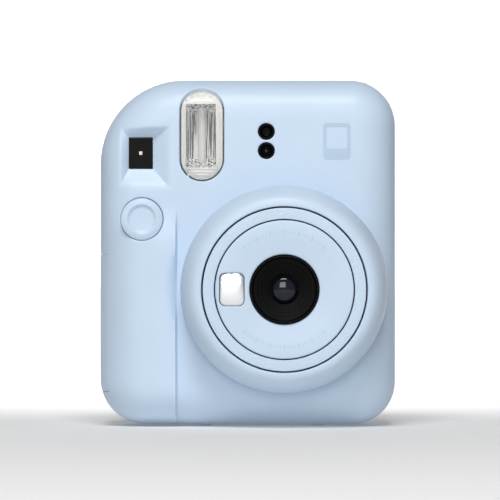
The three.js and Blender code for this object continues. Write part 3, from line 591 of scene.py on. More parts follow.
def metal(name, colour, roughness, brushed=0.0, grain_scale=3000.0):
    """Bare metal, brushed along Z where asked."""
    nodes = Nodes(name)
    streaks = nodes.streaks(grain_scale, 3.0, 0.03 if brushed else 1)
    nodes.set(
        Base_Color=nodes.ramp(streaks, shade(colour, 0.93), shade(colour, 1.05), 0.3, 0.7),
        Metallic=1.0,
        Roughness=nodes.remap(streaks, roughness * 0.8, roughness * 1.2),
        Normal=nodes.bump(streaks, 0.02 + brushed, 0.00005),
    )
    return nodes.material


def silver_with_painted_reflections(name):
    """Silver whose colour has upright near-black and white streaks: painted reflections, standing in for what
    the flash trough's facets reflect.
    """
    nodes = Nodes(name)
    streaks = nodes.streaks(1500.0, 4.0, 0.05)
    # Painted reflection: the base colour swings between near-black and white along the streaks.
    nodes.set(
        Base_Color=nodes.ramp(streaks, (0.01, 0.01, 0.012), (1.0, 1.0, 0.99), 0.45, 0.53),
        Metallic=0.2,
        Roughness=nodes.remap(streaks, 0.1, 0.3),
        Normal=nodes.bump(streaks, 0.4, 0.0003),
    )
    return nodes.material


def clear_plastic(name, colour, alpha, roughness=0.06, ribs=0.0):
    """A thin clear window; ribs is the pitch of fine upright prisms, in metres."""
    nodes = Nodes(name)
    haze = nodes.noise(400.0, 2.0)
    nodes.set(
        Base_Color=nodes.ramp(haze, shade(colour, 0.97), colour, 0.3, 0.7),
        Roughness=nodes.remap(haze, roughness * 0.7, roughness * 1.3),
        Alpha=alpha,
        IOR=1.49,
        Specular_IOR_Level=0.7,
    )
    if ribs:
        across = nodes.node("ShaderNodeSeparateXYZ", Vector=nodes.place).outputs["X"]
        wave = nodes.math("SINE", nodes.math("MULTIPLY", across, TURN / ribs))
        nodes.set(Normal=nodes.bump(wave, 0.6, 0.0002))
    return nodes.material


def coated_glass(name, colour, roughness=0.03, coat=1.0):
    """Dark coated glass, as at the front of a lens."""
    nodes = Nodes(name)
    haze = nodes.noise(300.0, 2.0)
    nodes.set(
        Base_Color=nodes.ramp(haze, shade(colour, 0.9), colour, 0.3, 0.7),
        Roughness=nodes.remap(haze, roughness, roughness * 1.6),
        IOR=1.5,
        Specular_IOR_Level=0.25,
        Coat_Weight=coat,
        Coat_Roughness=0.02,
        Coat_Tint=(0.75, 0.8, 1.0, 1),
    )
    return nodes.material


def circuit_board(name):
    """Green solder mask with lighter tracks."""
    nodes = Nodes(name)
    cells = nodes.node(
        "ShaderNodeTexBrick",
        Vector=nodes.place,
        Scale=220.0,
        Mortar_Size=0.06,
        Color1=(0.012, 0.11, 0.05, 1),
        Color2=(0.016, 0.13, 0.06, 1),
        Mortar=(0.05, 0.25, 0.11, 1),
    )
    nodes.set(Base_Color=cells.outputs["Color"], Roughness=nodes.remap(nodes.noise(900.0), 0.3, 0.45))
    return nodes.material


PASTEL = (0.575, 0.7, 0.845)
SHELL = plastic("pastel_plastic", PASTEL, 0.42, 0.06)
TEXTURED = plastic("pastel_textured_ring", shade(PASTEL, 1.03), 0.5, 0.8, 1500.0, 0.4, 0.0004)
MARKING = plastic("marking_tone", (0.47, 0.60, 0.74), 0.5, 0.05)
BLACK = plastic("black_plastic", (0.012, 0.012, 0.014), 0.42, 0.12)
HOOD = plastic("lens_hood_black", (0.0025, 0.0025, 0.003), 0.42, 0.05, 1200.0, 0.08)
CREAM = plastic("flash_frame_pearl", (0.86, 0.85, 0.79), 0.16, 0.03, 700.0, 0.7)
RUBBER = plastic("roller_rubber", (0.02, 0.02, 0.022), 0.75, 0.3, 1500.0, 0.3)
ACETAL = plastic("white_acetal", (0.75, 0.73, 0.66), 0.35, 0.04)
SLEEVE = plastic("cell_sleeve", (0.03, 0.035, 0.045), 0.25, 0.03, 800.0, 0.5)
STEEL = metal("bright_steel", (0.62, 0.63, 0.65), 0.28, 0.1)
MIRROR = metal("mirror_silver", (0.93, 0.94, 0.95), 0.24, 0.0, 40.0)
# The reflector's dark and light streaks are painted reflections.
REFLECTOR = silver_with_painted_reflections("flash_reflector_painted_reflections")
WINDOW = clear_plastic("clear_window", (0.9, 0.92, 0.93), 0.22)
FLASH_WINDOW = clear_plastic("flash_lens", (0.97, 0.97, 0.95), 0.11, 0.05, 0.0011)
TUBE = clear_plastic("flash_tube_glass", (1.0, 1.0, 0.98), 0.6, 0.04)
GLASS = coated_glass("lens_glass", (0.006, 0.007, 0.012), 0.03, 0.4)
DARK_GLASS = coated_glass("finder_glass", (0.006, 0.005, 0.0045), 0.06, 0.05)
BOARD = circuit_board("circuit_board")

SLOTS = {
    material.name: slot
    for slot, materials in {
        "shell": (SHELL, TEXTURED, MARKING),
        "black": (BLACK, HOOD),
        "clear": (WINDOW, FLASH_WINDOW, TUBE, CREAM),
        "glass": (GLASS, DARK_GLASS),
        "mirror": (MIRROR, REFLECTOR),
        "metal": (STEEL,),
        "gear": (ACETAL,),
        "battery": (SLEEVE,),
        "board": (BOARD,),
        "rubber": (RUBBER,),
    }.items()
    for material in materials
}


# ---------- the body's surfaces ----------

FINDER_HOLE = centred(FINDER, 4.3, 5.6, 0.25)
FUNNEL = Outline(FINDER.x - 7.1, FINDER.z - 11.6, FINDER.x + 9.8, FINDER.z + 8.9, 0.0)
FUNNEL_FLOOR = -11.2
FLASH = node_outline("flash_window", 0.0, 7.7)
FLASH_HOLE = node_outline("flash_window", 0.1, 7.8)
BUTTON_RADIUS = 7.35
BUTTON_HOLE = circle(BUTTON.x, BUTTON.z, BUTTON_RADIUS + 0.2)
DOME_HOLE = circle(LENS.x, LENS.z, DOME_RADIUS + 0.04)
SENSORS = [(6.5, 103.6), (6.5, 96.9)]
SENSOR_RADIUS = 2.78
SENSOR_HOLES = [circle(x, z, SENSOR_RADIUS + 0.17) for x, z in SENSORS]
FRONT_OPENINGS = [FINDER_HOLE, FLASH_HOLE, BUTTON_HOLE, DOME_HOLE, *SENSOR_HOLES]


def grip_share(x, z):
    """1 on the raised grip, 0 off it."""
    across = 1 - smoothstep(GRIP["edge"] - 0.35, GRIP["edge"] + 0.35, x)
    up = 1 - smoothstep(GRIP["full"], GRIP["gone"], z)
    round_lens = smoothstep(DOME_RADIUS + 0.3, DOME_RADIUS + 5.0, math.hypot(x - LENS.x, z - LENS.z))
    return across * up * round_lens


def body_front(x, z):
    """Depth of the front face, without its openings."""
    plain = bulge(BODY.inset(x, z), FRONT_ROUND)
    short = max(GRIP["ridge"] - x, 0.0) / (GRIP["ridge"] - BODY.left)
    rise = GRIP["rise"] - (GRIP["rise"] + GRIP["fall"]) * short ** 2
    return FRONT_EDGE - plain * (1 + rise / FRONT_ROUND * grip_share(x, z))


FUNNEL_EASE = 0.22


def funnel_share(x, z):
    """0 at the finder window, 1 past the funnel's rounded rim."""
    beyond = [
        (x - FINDER_HOLE.right) / (FUNNEL.right - FINDER_HOLE.right),
        (FINDER_HOLE.left - x) / (FINDER_HOLE.left - FUNNEL.left),
        (z - FINDER_HOLE.top) / (FUNNEL.top - FINDER_HOLE.top),
        (FINDER_HOLE.bottom - z) / (FINDER_HOLE.bottom - FUNNEL.bottom),
    ]
    share = max(max(beyond), 0.0)
    start = 1 - FUNNEL_EASE
    if share <= start:
        return share
    past = min((share - start) / (2 * FUNNEL_EASE), 1.0)
    return start + FUNNEL_EASE * (1 - (1 - past) ** 2)


def edge_dip(x, z, openings):
    """How far the surface rounds off at the edge of an opening."""
    return rounding(min(-opening.inset(x, z) for opening in openings))


def front_surface(x, z):
    """The front face with its funnel and the rounded edges of its openings."""
    y = body_front(x, z)
    share = funnel_share(x, z)
    if share < 1:
        y += (FUNNEL_FLOOR - y) * (1 - share)
    rounded = [FLASH_HOLE, BUTTON_HOLE, *SENSOR_HOLES]
    return (x, y + edge_dip(x, z, rounded), z)


def walled(edge_round, direction):
    """Thickness of the body's wall, measured square to its surface."""
    def inner(x, z, outer):
        share = (edge_round - min(max(BODY.inset(x, z), 0.0), edge_round)) / edge_round
        aside = BODY.outward(x, z) * WALL * share
        deep = WALL * math.sqrt(max(1 - share * share, 0.0))
        return (x - aside.x, outer[1] + direction * deep, z - aside.y)
    return inner


def quarter_rings(radius, steps=13):
    """Insets that divide a quarter-round edge evenly."""
    return [radius * (1 - math.cos(math.pi / 2 * k / steps)) for k in range(steps + 1)]


def funnel_lines():
    """The funnel's rim and the creases between its four walls."""
    hole = [(FINDER_HOLE.right, FINDER_HOLE.top), (FINDER_HOLE.left, FINDER_HOLE.top),
            (FINDER_HOLE.left, FINDER_HOLE.bottom), (FINDER_HOLE.right, FINDER_HOLE.bottom)]
    rim = [(FUNNEL.right, FUNNEL.top), (FUNNEL.left, FUNNEL.top),
           (FUNNEL.left, FUNNEL.bottom), (FUNNEL.right, FUNNEL.bottom)]
    reach = [Vector(outer) - Vector(inner) for outer, inner in zip(rim, hole)]
    lines = []
    for share in (1 - FUNNEL_EASE, 1 - FUNNEL_EASE / 3, 1 + FUNNEL_EASE / 3, 1 + FUNNEL_EASE):
        corners = [tuple(Vector(inner) + step * share) for inner, step in zip(hole, reach)]
        lines += [straight(a, b, 0.9)[1:-1] for a, b in zip(corners, corners[1:] + corners[:1])]
    for inner, step in zip(hole, reach):
        near, far = Vector(inner) + step * 0.2, Vector(inner) + step * (1 + FUNNEL_EASE)
        lines.append(straight(tuple(near), tuple(far), 0.7))
    return lines


def grip_lines():
    """Close rows of points along the crisp edge of the grip."""
    lines = []
    for shift in (-0.4, -0.2, 0.0, 0.2, 0.4):
        x = GRIP["edge"] + shift
        lines.append(straight((x, BOTTOM + 0.6), (x, GRIP["gone"]), 1.4))
    return lines


def build_front_shell():
    tail = [(0, 0.0), (0, 3.0), (0, SEAM_FRONT - 0.3), (0.25, SEAM_FRONT), (WALL, SEAM_FRONT)]
    shell = skin(
        "front_cover", BODY, front_surface, walled(FRONT_ROUND, 1), SHELL, "camera",
        openings=FRONT_OPENINGS, lines=funnel_lines() + grip_lines(), rings=quarter_rings(FRONT_ROUND),
        tail=tail, replaces=("front_shell",),
    )
    carve(shell, battery_cutter(), *strap_cutters())


def battery_cutter():
    """A block that cuts the opening for the battery cover."""
    low, high = span("battery_cover")
    play = COVER_PLAY
    return cutter((-FAR, low.y - play, low.z - play), (high.x + play * 0.6, high.y + play, high.z + play))


def strap_cutters():
    """Blocks that cut the pockets for the two strap lugs."""
    blocks = []
    for node, reach in (("strap_lug_left", -FAR), ("strap_lug_right", FAR)):
        low, high = span(node)
        left, right = (reach, high.x) if reach < 0 else (low.x, reach)
        near = (left, low.y - PLAY, low.z - PLAY)
        far = (right, high.y + PLAY, high.z + PLAY)
        blocks.append(cutter(near, far))
    return blocks


DOOR_LOW, DOOR_HIGH = span("film_door")
DOOR_HINGED_EDGE = 47.4
DOOR = Outline(DOOR_LOW.x, DOOR_LOW.z, DOOR_HINGED_EDGE, DOOR_HIGH.z, [2, 9, 9, 2])
DOOR_HOLE = grown(DOOR, 0.35)
HINGE = middle("door_hinge_pin")
HINGE_RADIUS = 2.1
EYE_HOLE = node_outline("finder_eyepiece", 0.2, 2.0)
SLIDER = Outline(-34.0, 51.0, -26.0, 65.0, 1.3)
SLIDER_TRAVEL = 4.0
LATCH_SLOT = grown(Outline(SLIDER.left, SLIDER.bottom - SLIDER_TRAVEL, SLIDER.right, SLIDER.top, 1.3), 0.2)
COUNTER_HOLE = node_outline("counter_window", 0.2, 1.0)
SCREWS = ("case_screw_lower", "case_screw_upper")
SCREW_HOLES = [circle(middle(node).x, middle(node).z, 2.4) for node in SCREWS]
REAR_OPENINGS = [DOOR_HOLE, EYE_HOLE, LATCH_SLOT, COUNTER_HOLE, *SCREW_HOLES]


def body_back(x, z):
    """Depth of the rear face, without its openings."""
    return BACK_EDGE + bulge(BODY.inset(x, z), BACK_ROUND)


def rear_surface(x, z):
    """The rear face with the rounded edges of its openings."""
    return (x, body_back(x, z) - edge_dip(x, z, REAR_OPENINGS), z)


def build_rear_shell():
    tail = [(0, 16.0), (0, 10.0), (0, SEAM_BACK + 0.3), (0.25, SEAM_BACK), (WALL, SEAM_BACK)]
    shell = skin(
        "rear_cover", BODY, rear_surface, walled(BACK_ROUND, -1), SHELL, "camera",
        openings=REAR_OPENINGS, rings=quarter_rings(BACK_ROUND), tail=tail, replaces=("rear_shell",),
    )
    low, high = span("film_exit_liner")
    slot = cutter((low.x - PLAY, low.y - PLAY, EXIT_CUT[0]), (high.x + PLAY, high.y + PLAY, EXIT_CUT[1]))
    carve(shell, battery_cutter(), slot, *strap_cutters())
    build_feet()
    hinge_barrel("fixed", 42.2, 77.8, "camera")


def build_feet():
    """Four small feet, two moulded under each shell."""
    top = BOTTOM + 0.4
    profile = [(0, top), (2.6, top), (2.5, BOTTOM), (2.1, BOTTOM - 0.45), (1.5, 0.0), (0, 0.0)]
    points, faces = lathe_points(profile, 0, 0, 40)
    for end, y in zip(("front", "back"), FOOT_YS):
        for side, x in zip(("left", "right"), FOOT_XS):
            placed = [(x + across, y + along, height) for across, height, along in points]
            mesh_object(f"foot_{end}_{side}", placed, faces, SHELL, "camera")


def hinge_barrel(name, low, high, body):
    """A round knuckle of the door's hinge, between two heights."""
    start, end = (HINGE.x, HINGE.y, low), (HINGE.x, HINGE.y, high)
    rod_object(f"hinge_barrel_{name}", start, end, HINGE_RADIUS, SHELL, body, 48, 0.3)


def door_surface(x, z):
    """The film door's share of the rear face, rounded at its rim and window."""
    return (x, body_back(x, z) - rounding(DOOR.inset(x, z)) - edge_dip(x, z, [PACK_HOLE]), z)


PACK_HOLE = node_outline("film_pack_window", 0.15, 2.1)


def build_film_door():
    """The door panel, its two hinge knuckles and the film pack window."""
    rim_depth = DOOR_LOW.y + 0.9
    skin(
        "film_door_panel", DOOR, door_surface, walled(BACK_ROUND, -1), SHELL, "door",
        openings=[PACK_HOLE], rings=(0.0, 0.05, 0.16, 0.4, 1.0, 2.0, 3.2),
        tail=[(0, rim_depth), (WALL, rim_depth)], replaces=("film_door",),
    )
    hinge_barrel("lower", 11, 41.8, "door")
    hinge_barrel("upper", 78.2, 109, "door")
    window = node_outline("film_pack_window", 0.0, 2.0)
    low, high = span("film_pack_window")
    plate("film_window_pane", window, high.y, low.y, WINDOW, "door", ("film_pack_window",))


def flat_back(y):
    """An inner face at one depth, for a plate."""
    return lambda x, z, outer: (x, y, z)


def plate(name, outline, front, back, material, body, replaces=(), fillet=0.25):
    """A flat plate whose face at the first depth has rounded edges."""
    sign = 1 if front > back else -1

    def face(x, z):
        return (x, front - sign * rounding(outline.inset(x, z), fillet), z)

    return skin(name, outline, face, flat_back(back), material, body, rings=(0.0, 0.03, 0.1, 0.25), grid=2.0,
                replaces=replaces)


def side_edge(z):
    """X of the body's left side at a height."""
    for cx, cz, radius, side, up in BODY.corners():
        if side < 0 and up * (z - cz) > 0:
            return cx - math.sqrt(radius ** 2 - (z - cz) ** 2)
    return BODY.left


def reach_at_depth(edge, z, y):
    """How far in from the side the front face lies at a depth."""
    near, far = 0.0, FRONT_ROUND
    for _ in range(24):
        half = (near + far) / 2
        if body_front(edge + half, z) > y:
            near = half
        else:
            far = half
    return near


def sheet_faces(width, height):
    """Faces of a closed sheet: an outer grid of points, the same inner grid, and its four edges."""
    faces = []
    inner = width * height
    for row in range(height - 1):
        for k in range(width - 1):
            a = row * width + k
            faces.append([a, a + 1, a + 1 + width, a + width])
            faces.append([a + inner, a + width + inner, a + 1 + width + inner, a + 1 + inner])
        for k in (0, width - 1):
            a = row * width + k
            faces.append([a, a + width, a + width + inner, a + inner])
    for k in range(width - 1):
        for row in (0, height - 1):
            a = row * width + k
            faces.append([a, a + 1, a + 1 + inner, a + inner])
    return faces


def build_battery_cover():
    """A patch of the body's own surface, closed by an inner face."""
    low, high = span("battery_cover")
    rows, steps = 40, 30
    outer, inner = [], []
    for row in range(rows + 1):
        z = low.z + (high.z - low.z) * row / rows
        edge = side_edge(z)
        for k in range(steps + 1):
            y = low.y + (high.y - low.y) * k / steps
            reach = reach_at_depth(edge, z, y) if y < FRONT_EDGE else 0.0
            deep = min(max(FRONT_EDGE - y, 0.0) / FRONT_ROUND, 1.0)
            outer.append((edge + reach, y, z))
            inner.append((edge + reach + WALL * math.sqrt(1 - deep ** 2), y + WALL * deep * 0.5, z))
    faces = sheet_faces(steps + 1, rows + 1)
    mesh_object("battery_door", outer + inner, faces, SHELL, "cover", 35, ("battery_cover",))


# ---------- lens ----------

DOME_DEPTH, DOME_ROUND, DOME_MOUTH, DOME_BACK = 14.0, 6.6, 28.85, -7.5
DOME_SEGMENTS = 192


def build_dome():
    """The soft round dome; its foot follows the body's face."""
    front = DOME_LOW.y
    shoulder = DOME_RADIUS - DOME_ROUND
    outer = []
    for k in range(21):
        angle = math.pi / 2 * k / 20
        outer.append((shoulder + DOME_ROUND * math.cos(angle), front + DOME_DEPTH * (1 - math.sin(angle))))
    lip = [(DOME_MOUTH + 0.5, front), (DOME_MOUTH + 0.15, front + 0.1), (DOME_MOUTH, front + 0.45)]
    start = (DOME_RADIUS, front + DOME_DEPTH + 1.0)
    inside = [(DOME_MOUTH, DOME_BACK), (DOME_RADIUS - WALL, DOME_BACK)]
    points, rows = [], []
    for radius, y in [(DOME_RADIUS, None), start, *outer, *lip, *inside]:
        row = []
        for k in range(DOME_SEGMENTS):
            angle = TURN * k / DOME_SEGMENTS
            x, z = LENS.x + radius * math.cos(angle), LENS.z + radius * math.sin(angle)
            row.append(len(points))
            foot = min(body_front(x, z) + 0.25, DOME_BACK - 0.1)
            points.append((x, foot if y is None else y, z))
        rows.append(row)
    faces = []
    for row, following in zip(rows, rows[1:] + rows[:1]):
        faces += band(row, following)
    mesh_object("dome", points, faces, SHELL, "camera", 50, ("lens_dome",))


def build_dial():
    """The turning ring round the lens, a hollow tube with a rounded front."""
    face = span("lens_dial")[0].y
    radius, mouth, wall, back = 28.3, 24.45, 1.4, -12.8
    profile = rounded_profile([
        (mouth, face, 0.3), (radius, face, 0.35), (radius, back), (radius - wall, back),
        (radius - wall, face + 1.6), (mouth, face + 1.6),
    ])
    lathe("dial_ring", profile, LENS.x, LENS.z, TEXTURED, "dial", 192, replaces=("lens_dial",))


FACE_RADIUS, FACE_HOLE, FACE_DISH = 24.0, 12.15, 0.9


def face_depth(radius):
    """Depth of the dished lens face at a radius."""
    front = span("lens_face")[0].y
    return front + FACE_DISH * (1 - smoothstep(FACE_HOLE - 1, 21.5, radius))


def build_face():
    """The dished plate round the lens, with its mirror and marks."""
    back = span("lens_face")[1].y
    centre = circle(LENS.x, LENS.z, FACE_RADIUS)
    recess = node_outline("selfie_mirror", 0.2, 2.0)
    hole = circle(LENS.x, LENS.z, FACE_HOLE)

    def surface(x, z):
        radius = math.hypot(x - LENS.x, z - LENS.z)
        y = face_depth(radius) + edge_dip(x, z, [recess, hole]) + rounding(FACE_RADIUS - radius)
        return (x, y, z)

    skin("face_plate", centre, surface, flat_back(back), SHELL, "lens_unit", openings=[recess, hole],
         rings=(0.0, 0.05, 0.18, 0.4, 1.0), grid=1.3, replaces=("lens_face",))
    build_mirror()
    build_face_marks()


def build_mirror():
    """The small domed mirror beside the lens."""
    low, high = span("selfie_mirror")
    pane = node_outline("selfie_mirror", 0.0, 1.8)
    centre = middle("selfie_mirror")
    radius, fillet = 40.0, 0.25

    def surface(x, z):
        away = (x - centre.x) ** 2 + (z - centre.z) ** 2
        y = low.y + radius - math.sqrt(radius ** 2 - away)
        return (x, y + rounding(pane.inset(x, z), fillet), z)

    skin("portrait_mirror", pane, surface, flat_back(high.y), MIRROR, "lens_unit",
         rings=(0.0, 0.03, 0.1, 0.25), grid=0.8, replaces=("selfie_mirror",))


def build_face_marks():
    """Rows of small tone-on-tone strokes round the lens, over and under it."""
    radius, length = 19.9, 1.3
    for name, centre_angle in (("upper", 90), ("lower", 270)):
        points, faces = [], []
        for i in range(-12, 13):
            if i % 4 == 0:
                tall, half = length * 1.35, 0.17
            else:
                tall, half = length * 0.6, 0.12
            angle = math.radians(centre_angle + i * 3.6)
            outward = Vector((math.cos(angle), math.sin(angle)))
            across = Vector((-outward.y, outward.x))
            back = list(range(len(points), len(points) + 4))
            front = [k + 4 for k in back]
            for depth in (0.12, -0.06):
                for along, side in ((-1, -1), (-1, 1), (1, 1), (1, -1)):
                    reach = radius + along * tall / 2
                    place = outward * reach + across * side * half
                    points.append((LENS.x + place.x, face_depth(reach) + depth, LENS.z + place.y))
            faces += [back[::-1], front, *band(back, front)]
        mesh_object(f"face_marks_{name}", points, faces, MARKING, "lens_unit")


def crown(radius, rise, y, steps):
    """Profile of a domed lens face from its axis to its rim, which lies at a depth."""
    angles = [math.pi / 2 * k / steps for k in range(steps + 1)]
    return [(radius * math.sin(angle), y - rise * math.cos(angle)) for angle in angles]


def build_hood():
    """The stepped black funnel, and the front lens in it."""
    front = span("lens_hood")[0].y
    steps = [(10.4, 1.9), (9.0, 3.3), (7.7, 4.6), (6.5, 5.6), (5.5, 6.6)]
    outer, throat, depth, ledge = 11.8, 4.85, 7.9, 0.35
    profile = [(outer, front + 0.3, 0.1), (11.6, front, 0.12), (11.25, front, 0.12)]
    for (radius, deep), (smaller, _) in zip(steps, steps[1:] + [(throat, 0)]):
        profile += [(radius + ledge, front + deep, 0.08), (smaller + ledge, front + deep, 0.1)]
    profile += [(throat, front + depth), (outer, front + depth)]
    profile = rounded_profile(profile, 3)
    lathe("hood_rings", profile, LENS.x, LENS.z, HOOD, "lens_unit", 160, 30, ("lens_hood",))
    back, radius = span("front_lens")[1].y, 4.7
    element = crown(radius, 1.7, back - 0.6, 16) + [(radius, back), (0, back)]
    lathe("front_element", element, LENS.x, LENS.z, GLASS, "lens_unit", 96, 60, ("front_lens",))


# ---------- controls ----------

def build_button():
    """The dished shutter button with its flange and stem, and its coil with room to press."""
    low, high = span("shutter_button")
    face, flange, stem = low.y, 8.2, 2.2
    profile = rounded_profile([
        (0, face + 1.0), (4.1, face + 0.9, 1.2), (5.2, face + 0.05, 0.5), (6.1, face + 0.2, 1.0),
        (BUTTON_RADIUS, face + 0.7, 0.4), (BUTTON_RADIUS, face + 5.9), (flange, face + 5.9),
        (flange, face + 6.5), (stem, face + 6.5), (stem, high.y), (0, high.y),
    ], 6)
    lathe("release_button", profile, BUTTON.x, BUTTON.z, SHELL, "button", 128, 40, ("shutter_button",))
    start = (BUTTON.x, span("shutter_button_spring")[0].y + 1.35, BUTTON.z)
    helix("button_coil", start, "y", 3.2, 0.35, 4.4, 4, STEEL, "camera", ("shutter_button_spring",))


def flash_surface(proud, edge):
    """The flash window's face, proud of the body's own and rounded at its rim."""
    def surface(x, z):
        distance = BODY.inset(x, z)
        y = FRONT_EDGE - bulge(distance + proud, FRONT_ROUND + proud)
        return (x, y + 0.8 * rounding(FLASH.inset(x, z), edge), z)
    return surface


REFLECTOR_MOUTH = Outline(-21.7, 91.0, -11.1, 113.4, 0.8)
FRAME_INNER = grown(FLASH, -0.5)


def behind(depth):
    """An inner face that follows the outer one at a depth, for a thin plate."""
    return lambda x, z, outer: (x, outer[1] + depth, z)


def frame_surface(x, z):
    """The pearl frame round the reflector, ribbed beyond both of its ends."""
    rim_width, recess, rib_pitch, rib_height = 1.6, 1.6, 1.15, 0.34
    y = FRONT_EDGE - bulge(BODY.inset(x, z), FRONT_ROUND) + recess
    rim = FRAME_INNER.inset(x, z)
    if rim < rim_width:
        y += 0.9 * smoothstep(rim_width, 0.4, rim)
    beyond = max(z - REFLECTOR_MOUTH.top, REFLECTOR_MOUTH.bottom - z)
    return (x, y + rib_height * math.sin(TURN * z / rib_pitch) * smoothstep(0.0, 0.5, beyond), z)


def build_flash():
    """The clear window, the frame behind it, the reflector and the tube."""
    skin("flash_lens", FLASH, flash_surface(0.5, 1.2), behind(0.9), FLASH_WINDOW, "camera",
         rings=(0.0, 0.1, 0.3, 0.6, 0.9, 1.2), grid=1.0, replaces=("flash_window",))
    skin("flash_frame", FRAME_INNER, frame_surface, behind(1.4), CREAM, "camera", openings=[REFLECTOR_MOUTH],
         rings=(0.0, 0.4, 0.8, 1.2, 1.6), grid=0.45)
    build_reflector()
    build_flash_tube()


def build_reflector():
    """A faceted silver trough with sloping ends."""
    mouth_y, depth, wall, slope = -11.6, 7.0, 0.4, 3.4
    facets = 18
    centre = (REFLECTOR_MOUTH.left + REFLECTOR_MOUTH.right) / 2
    half = (REFLECTOR_MOUTH.right - REFLECTOR_MOUTH.left) / 2
    low, high = REFLECTOR_MOUTH.bottom, REFLECTOR_MOUTH.top
    points = []
    for grow in (0.0, wall):
        for z, full in ((low - grow, 0), (low + slope - grow, 1), (high - slope + grow, 1), (high + grow, 0)):
            for k in range(facets + 1):
                angle = math.pi * k / facets
                deep = (depth * math.sin(angle) ** 0.8 + grow) * full
                points.append((centre - (half + grow) * math.cos(angle), mouth_y + deep, z))
    faces = sheet_faces(facets + 1, 4)
    mesh_object("flash_trough", points, faces, REFLECTOR, "camera", 12, ("flash_reflector",))


def build_flash_tube():
    """The glass tube, with a steel electrode in each end."""
    low, high = span("flash_tube")
    x, y, _ = middle("flash_tube")
    start, end = (x, y, low.z), (x, y, high.z)
    rod_object("flash_glass_tube", start, end, 1.45, TUBE, "camera", 40, 0.4, ("flash_tube",))
    inset, length = 0.6, 2.0
    for name, bottom in (("lower", low.z + inset), ("upper", high.z - inset - length)):
        start, end = (x, y, bottom), (x, y, bottom + length)
        rod_object(f"flash_electrode_{name}", start, end, 0.9, STEEL, "camera", 24, 0.2)


def build_sensors():
    """Two black tubes on a board, with a small lens in the lower one."""
    low, high = span("sensor_module")
    board, cup, lens = -11.2, -12.6, -12.75
    box_object("sensor_board", (low.x, board, low.z), tuple(high), HOOD, "camera", 0.3, ("sensor_module",))
    profile = rounded_profile([
        (SENSOR_RADIUS, low.y, 0.15), (SENSOR_RADIUS, board - 0.2), (0, board - 0.2),
        (0, cup), (1.5, cup, 0.3), (2.25, low.y, 0.12),
    ])
    for name, (x, z) in zip(("light", "flash"), SENSORS):
        lathe(f"{name}_sensor_tube", profile, x, z, HOOD, "camera", 64, 30)
    x, z = SENSORS[1]
    lathe("flash_sensor_lens", crown(1.1, 0.7, lens, 10) + [(0, lens)], x, z, GLASS, "camera", 48, 60)


def build_finder():
    """The dark front pane with a small white spot at its centre, and the eyepiece."""
    pane = node_outline("finder_front_window", 0.0, 0.2)
    back, face = span("finder_front_window")[1].y, -10.95
    plate("finder_pane", pane, face, back, DARK_GLASS, "camera", ("finder_front_window",), 0.1)
    # A small white disc just in front of the pane's centre, for the white dot at the finder window's centre.
    spot = centred(FINDER, 0.55, 0.6, 0.15)
    plate("finder_white_spot", spot, face - 0.08, face - 0.01, ACETAL, "camera", (), 0.02)
    low, high = span("finder_eyepiece")
    rim = node_outline("finder_eyepiece", 0.0, 1.8)
    glass = grown(rim, -1.6)
    soft, drop = 0.8, 0.3

    def rim_face(x, z):
        distance = min(rim.inset(x, z), -glass.inset(x, z))
        return (x, high.y - drop * rounding(distance, soft) / soft, z)

    skin("eyepiece_rim", rim, rim_face, flat_back(low.y), BLACK, "camera", openings=[glass],
         rings=(0.0, 0.1, 0.3, 0.8), grid=0.8, replaces=("finder_eyepiece",))
    plate("eyepiece_glass", grown(glass, -0.05), high.y - 0.8, low.y + 0.2, DARK_GLASS, "camera", (), 0.2)


def build_strap_lugs():
    for side in ("left", "right"):
        softened(f"strap_lug_{side}", BLACK, 0.2)


def build_film_exit():
    softened("film_exit_liner", BLACK, 0.3)


def build_latch():
    """The ridged thumb piece of the door latch, the plate under it and its coil."""
    low, high = span("door_latch")
    pitch, height, fillet = 1.5, 0.35, 0.35
    ridges_low, ridges_high, rim_width = SLIDER.bottom + 1.8, SLIDER.top - 1.8, 1.1
    seat = 30.4

    def face(x, z):
        rim = SLIDER.inset(x, z)
        y = high.y - rounding(rim, fillet)
        if ridges_low < z < ridges_high and rim > rim_width:
            y -= height * (0.5 + 0.5 * math.cos(TURN * (z - ridges_low) / pitch))
        return (x, y, z)

    skin("latch_thumb_piece", SLIDER, face, flat_back(seat), SHELL, "latch", rings=(0.0, 0.05, 0.15, 0.35),
         grid=0.3, replaces=("door_latch",))
    box_object("latch_plate", tuple(low), (high.x, seat - 0.05, high.z), BLACK, "latch", 0.2)
    x, y, _ = middle("latch_spring")
    start = (x, y, span("latch_spring")[0].z + 0.3)
    helix("latch_coil", start, "z", 1.5, 0.3, 9, 5, STEEL, "camera", ("latch_spring",))


def digit_mesh(label, size):
    """A numeral as a thin solid, centred, in the X-Y plane."""
    text = bpy.data.curves.new("digit", "FONT")
    text.body = label
    text.size = size * MM
    text.align_x = "CENTER"
    text.align_y = "CENTER"
    text.extrude = 0.04 * MM
    maker = bpy.data.objects.new("digit", text)
    bpy.context.scene.collection.objects.link(maker)
    mesh = bpy.data.meshes.new_from_object(maker.evaluated_get(bpy.context.evaluated_depsgraph_get()))
    bpy.data.objects.remove(maker)
    return mesh


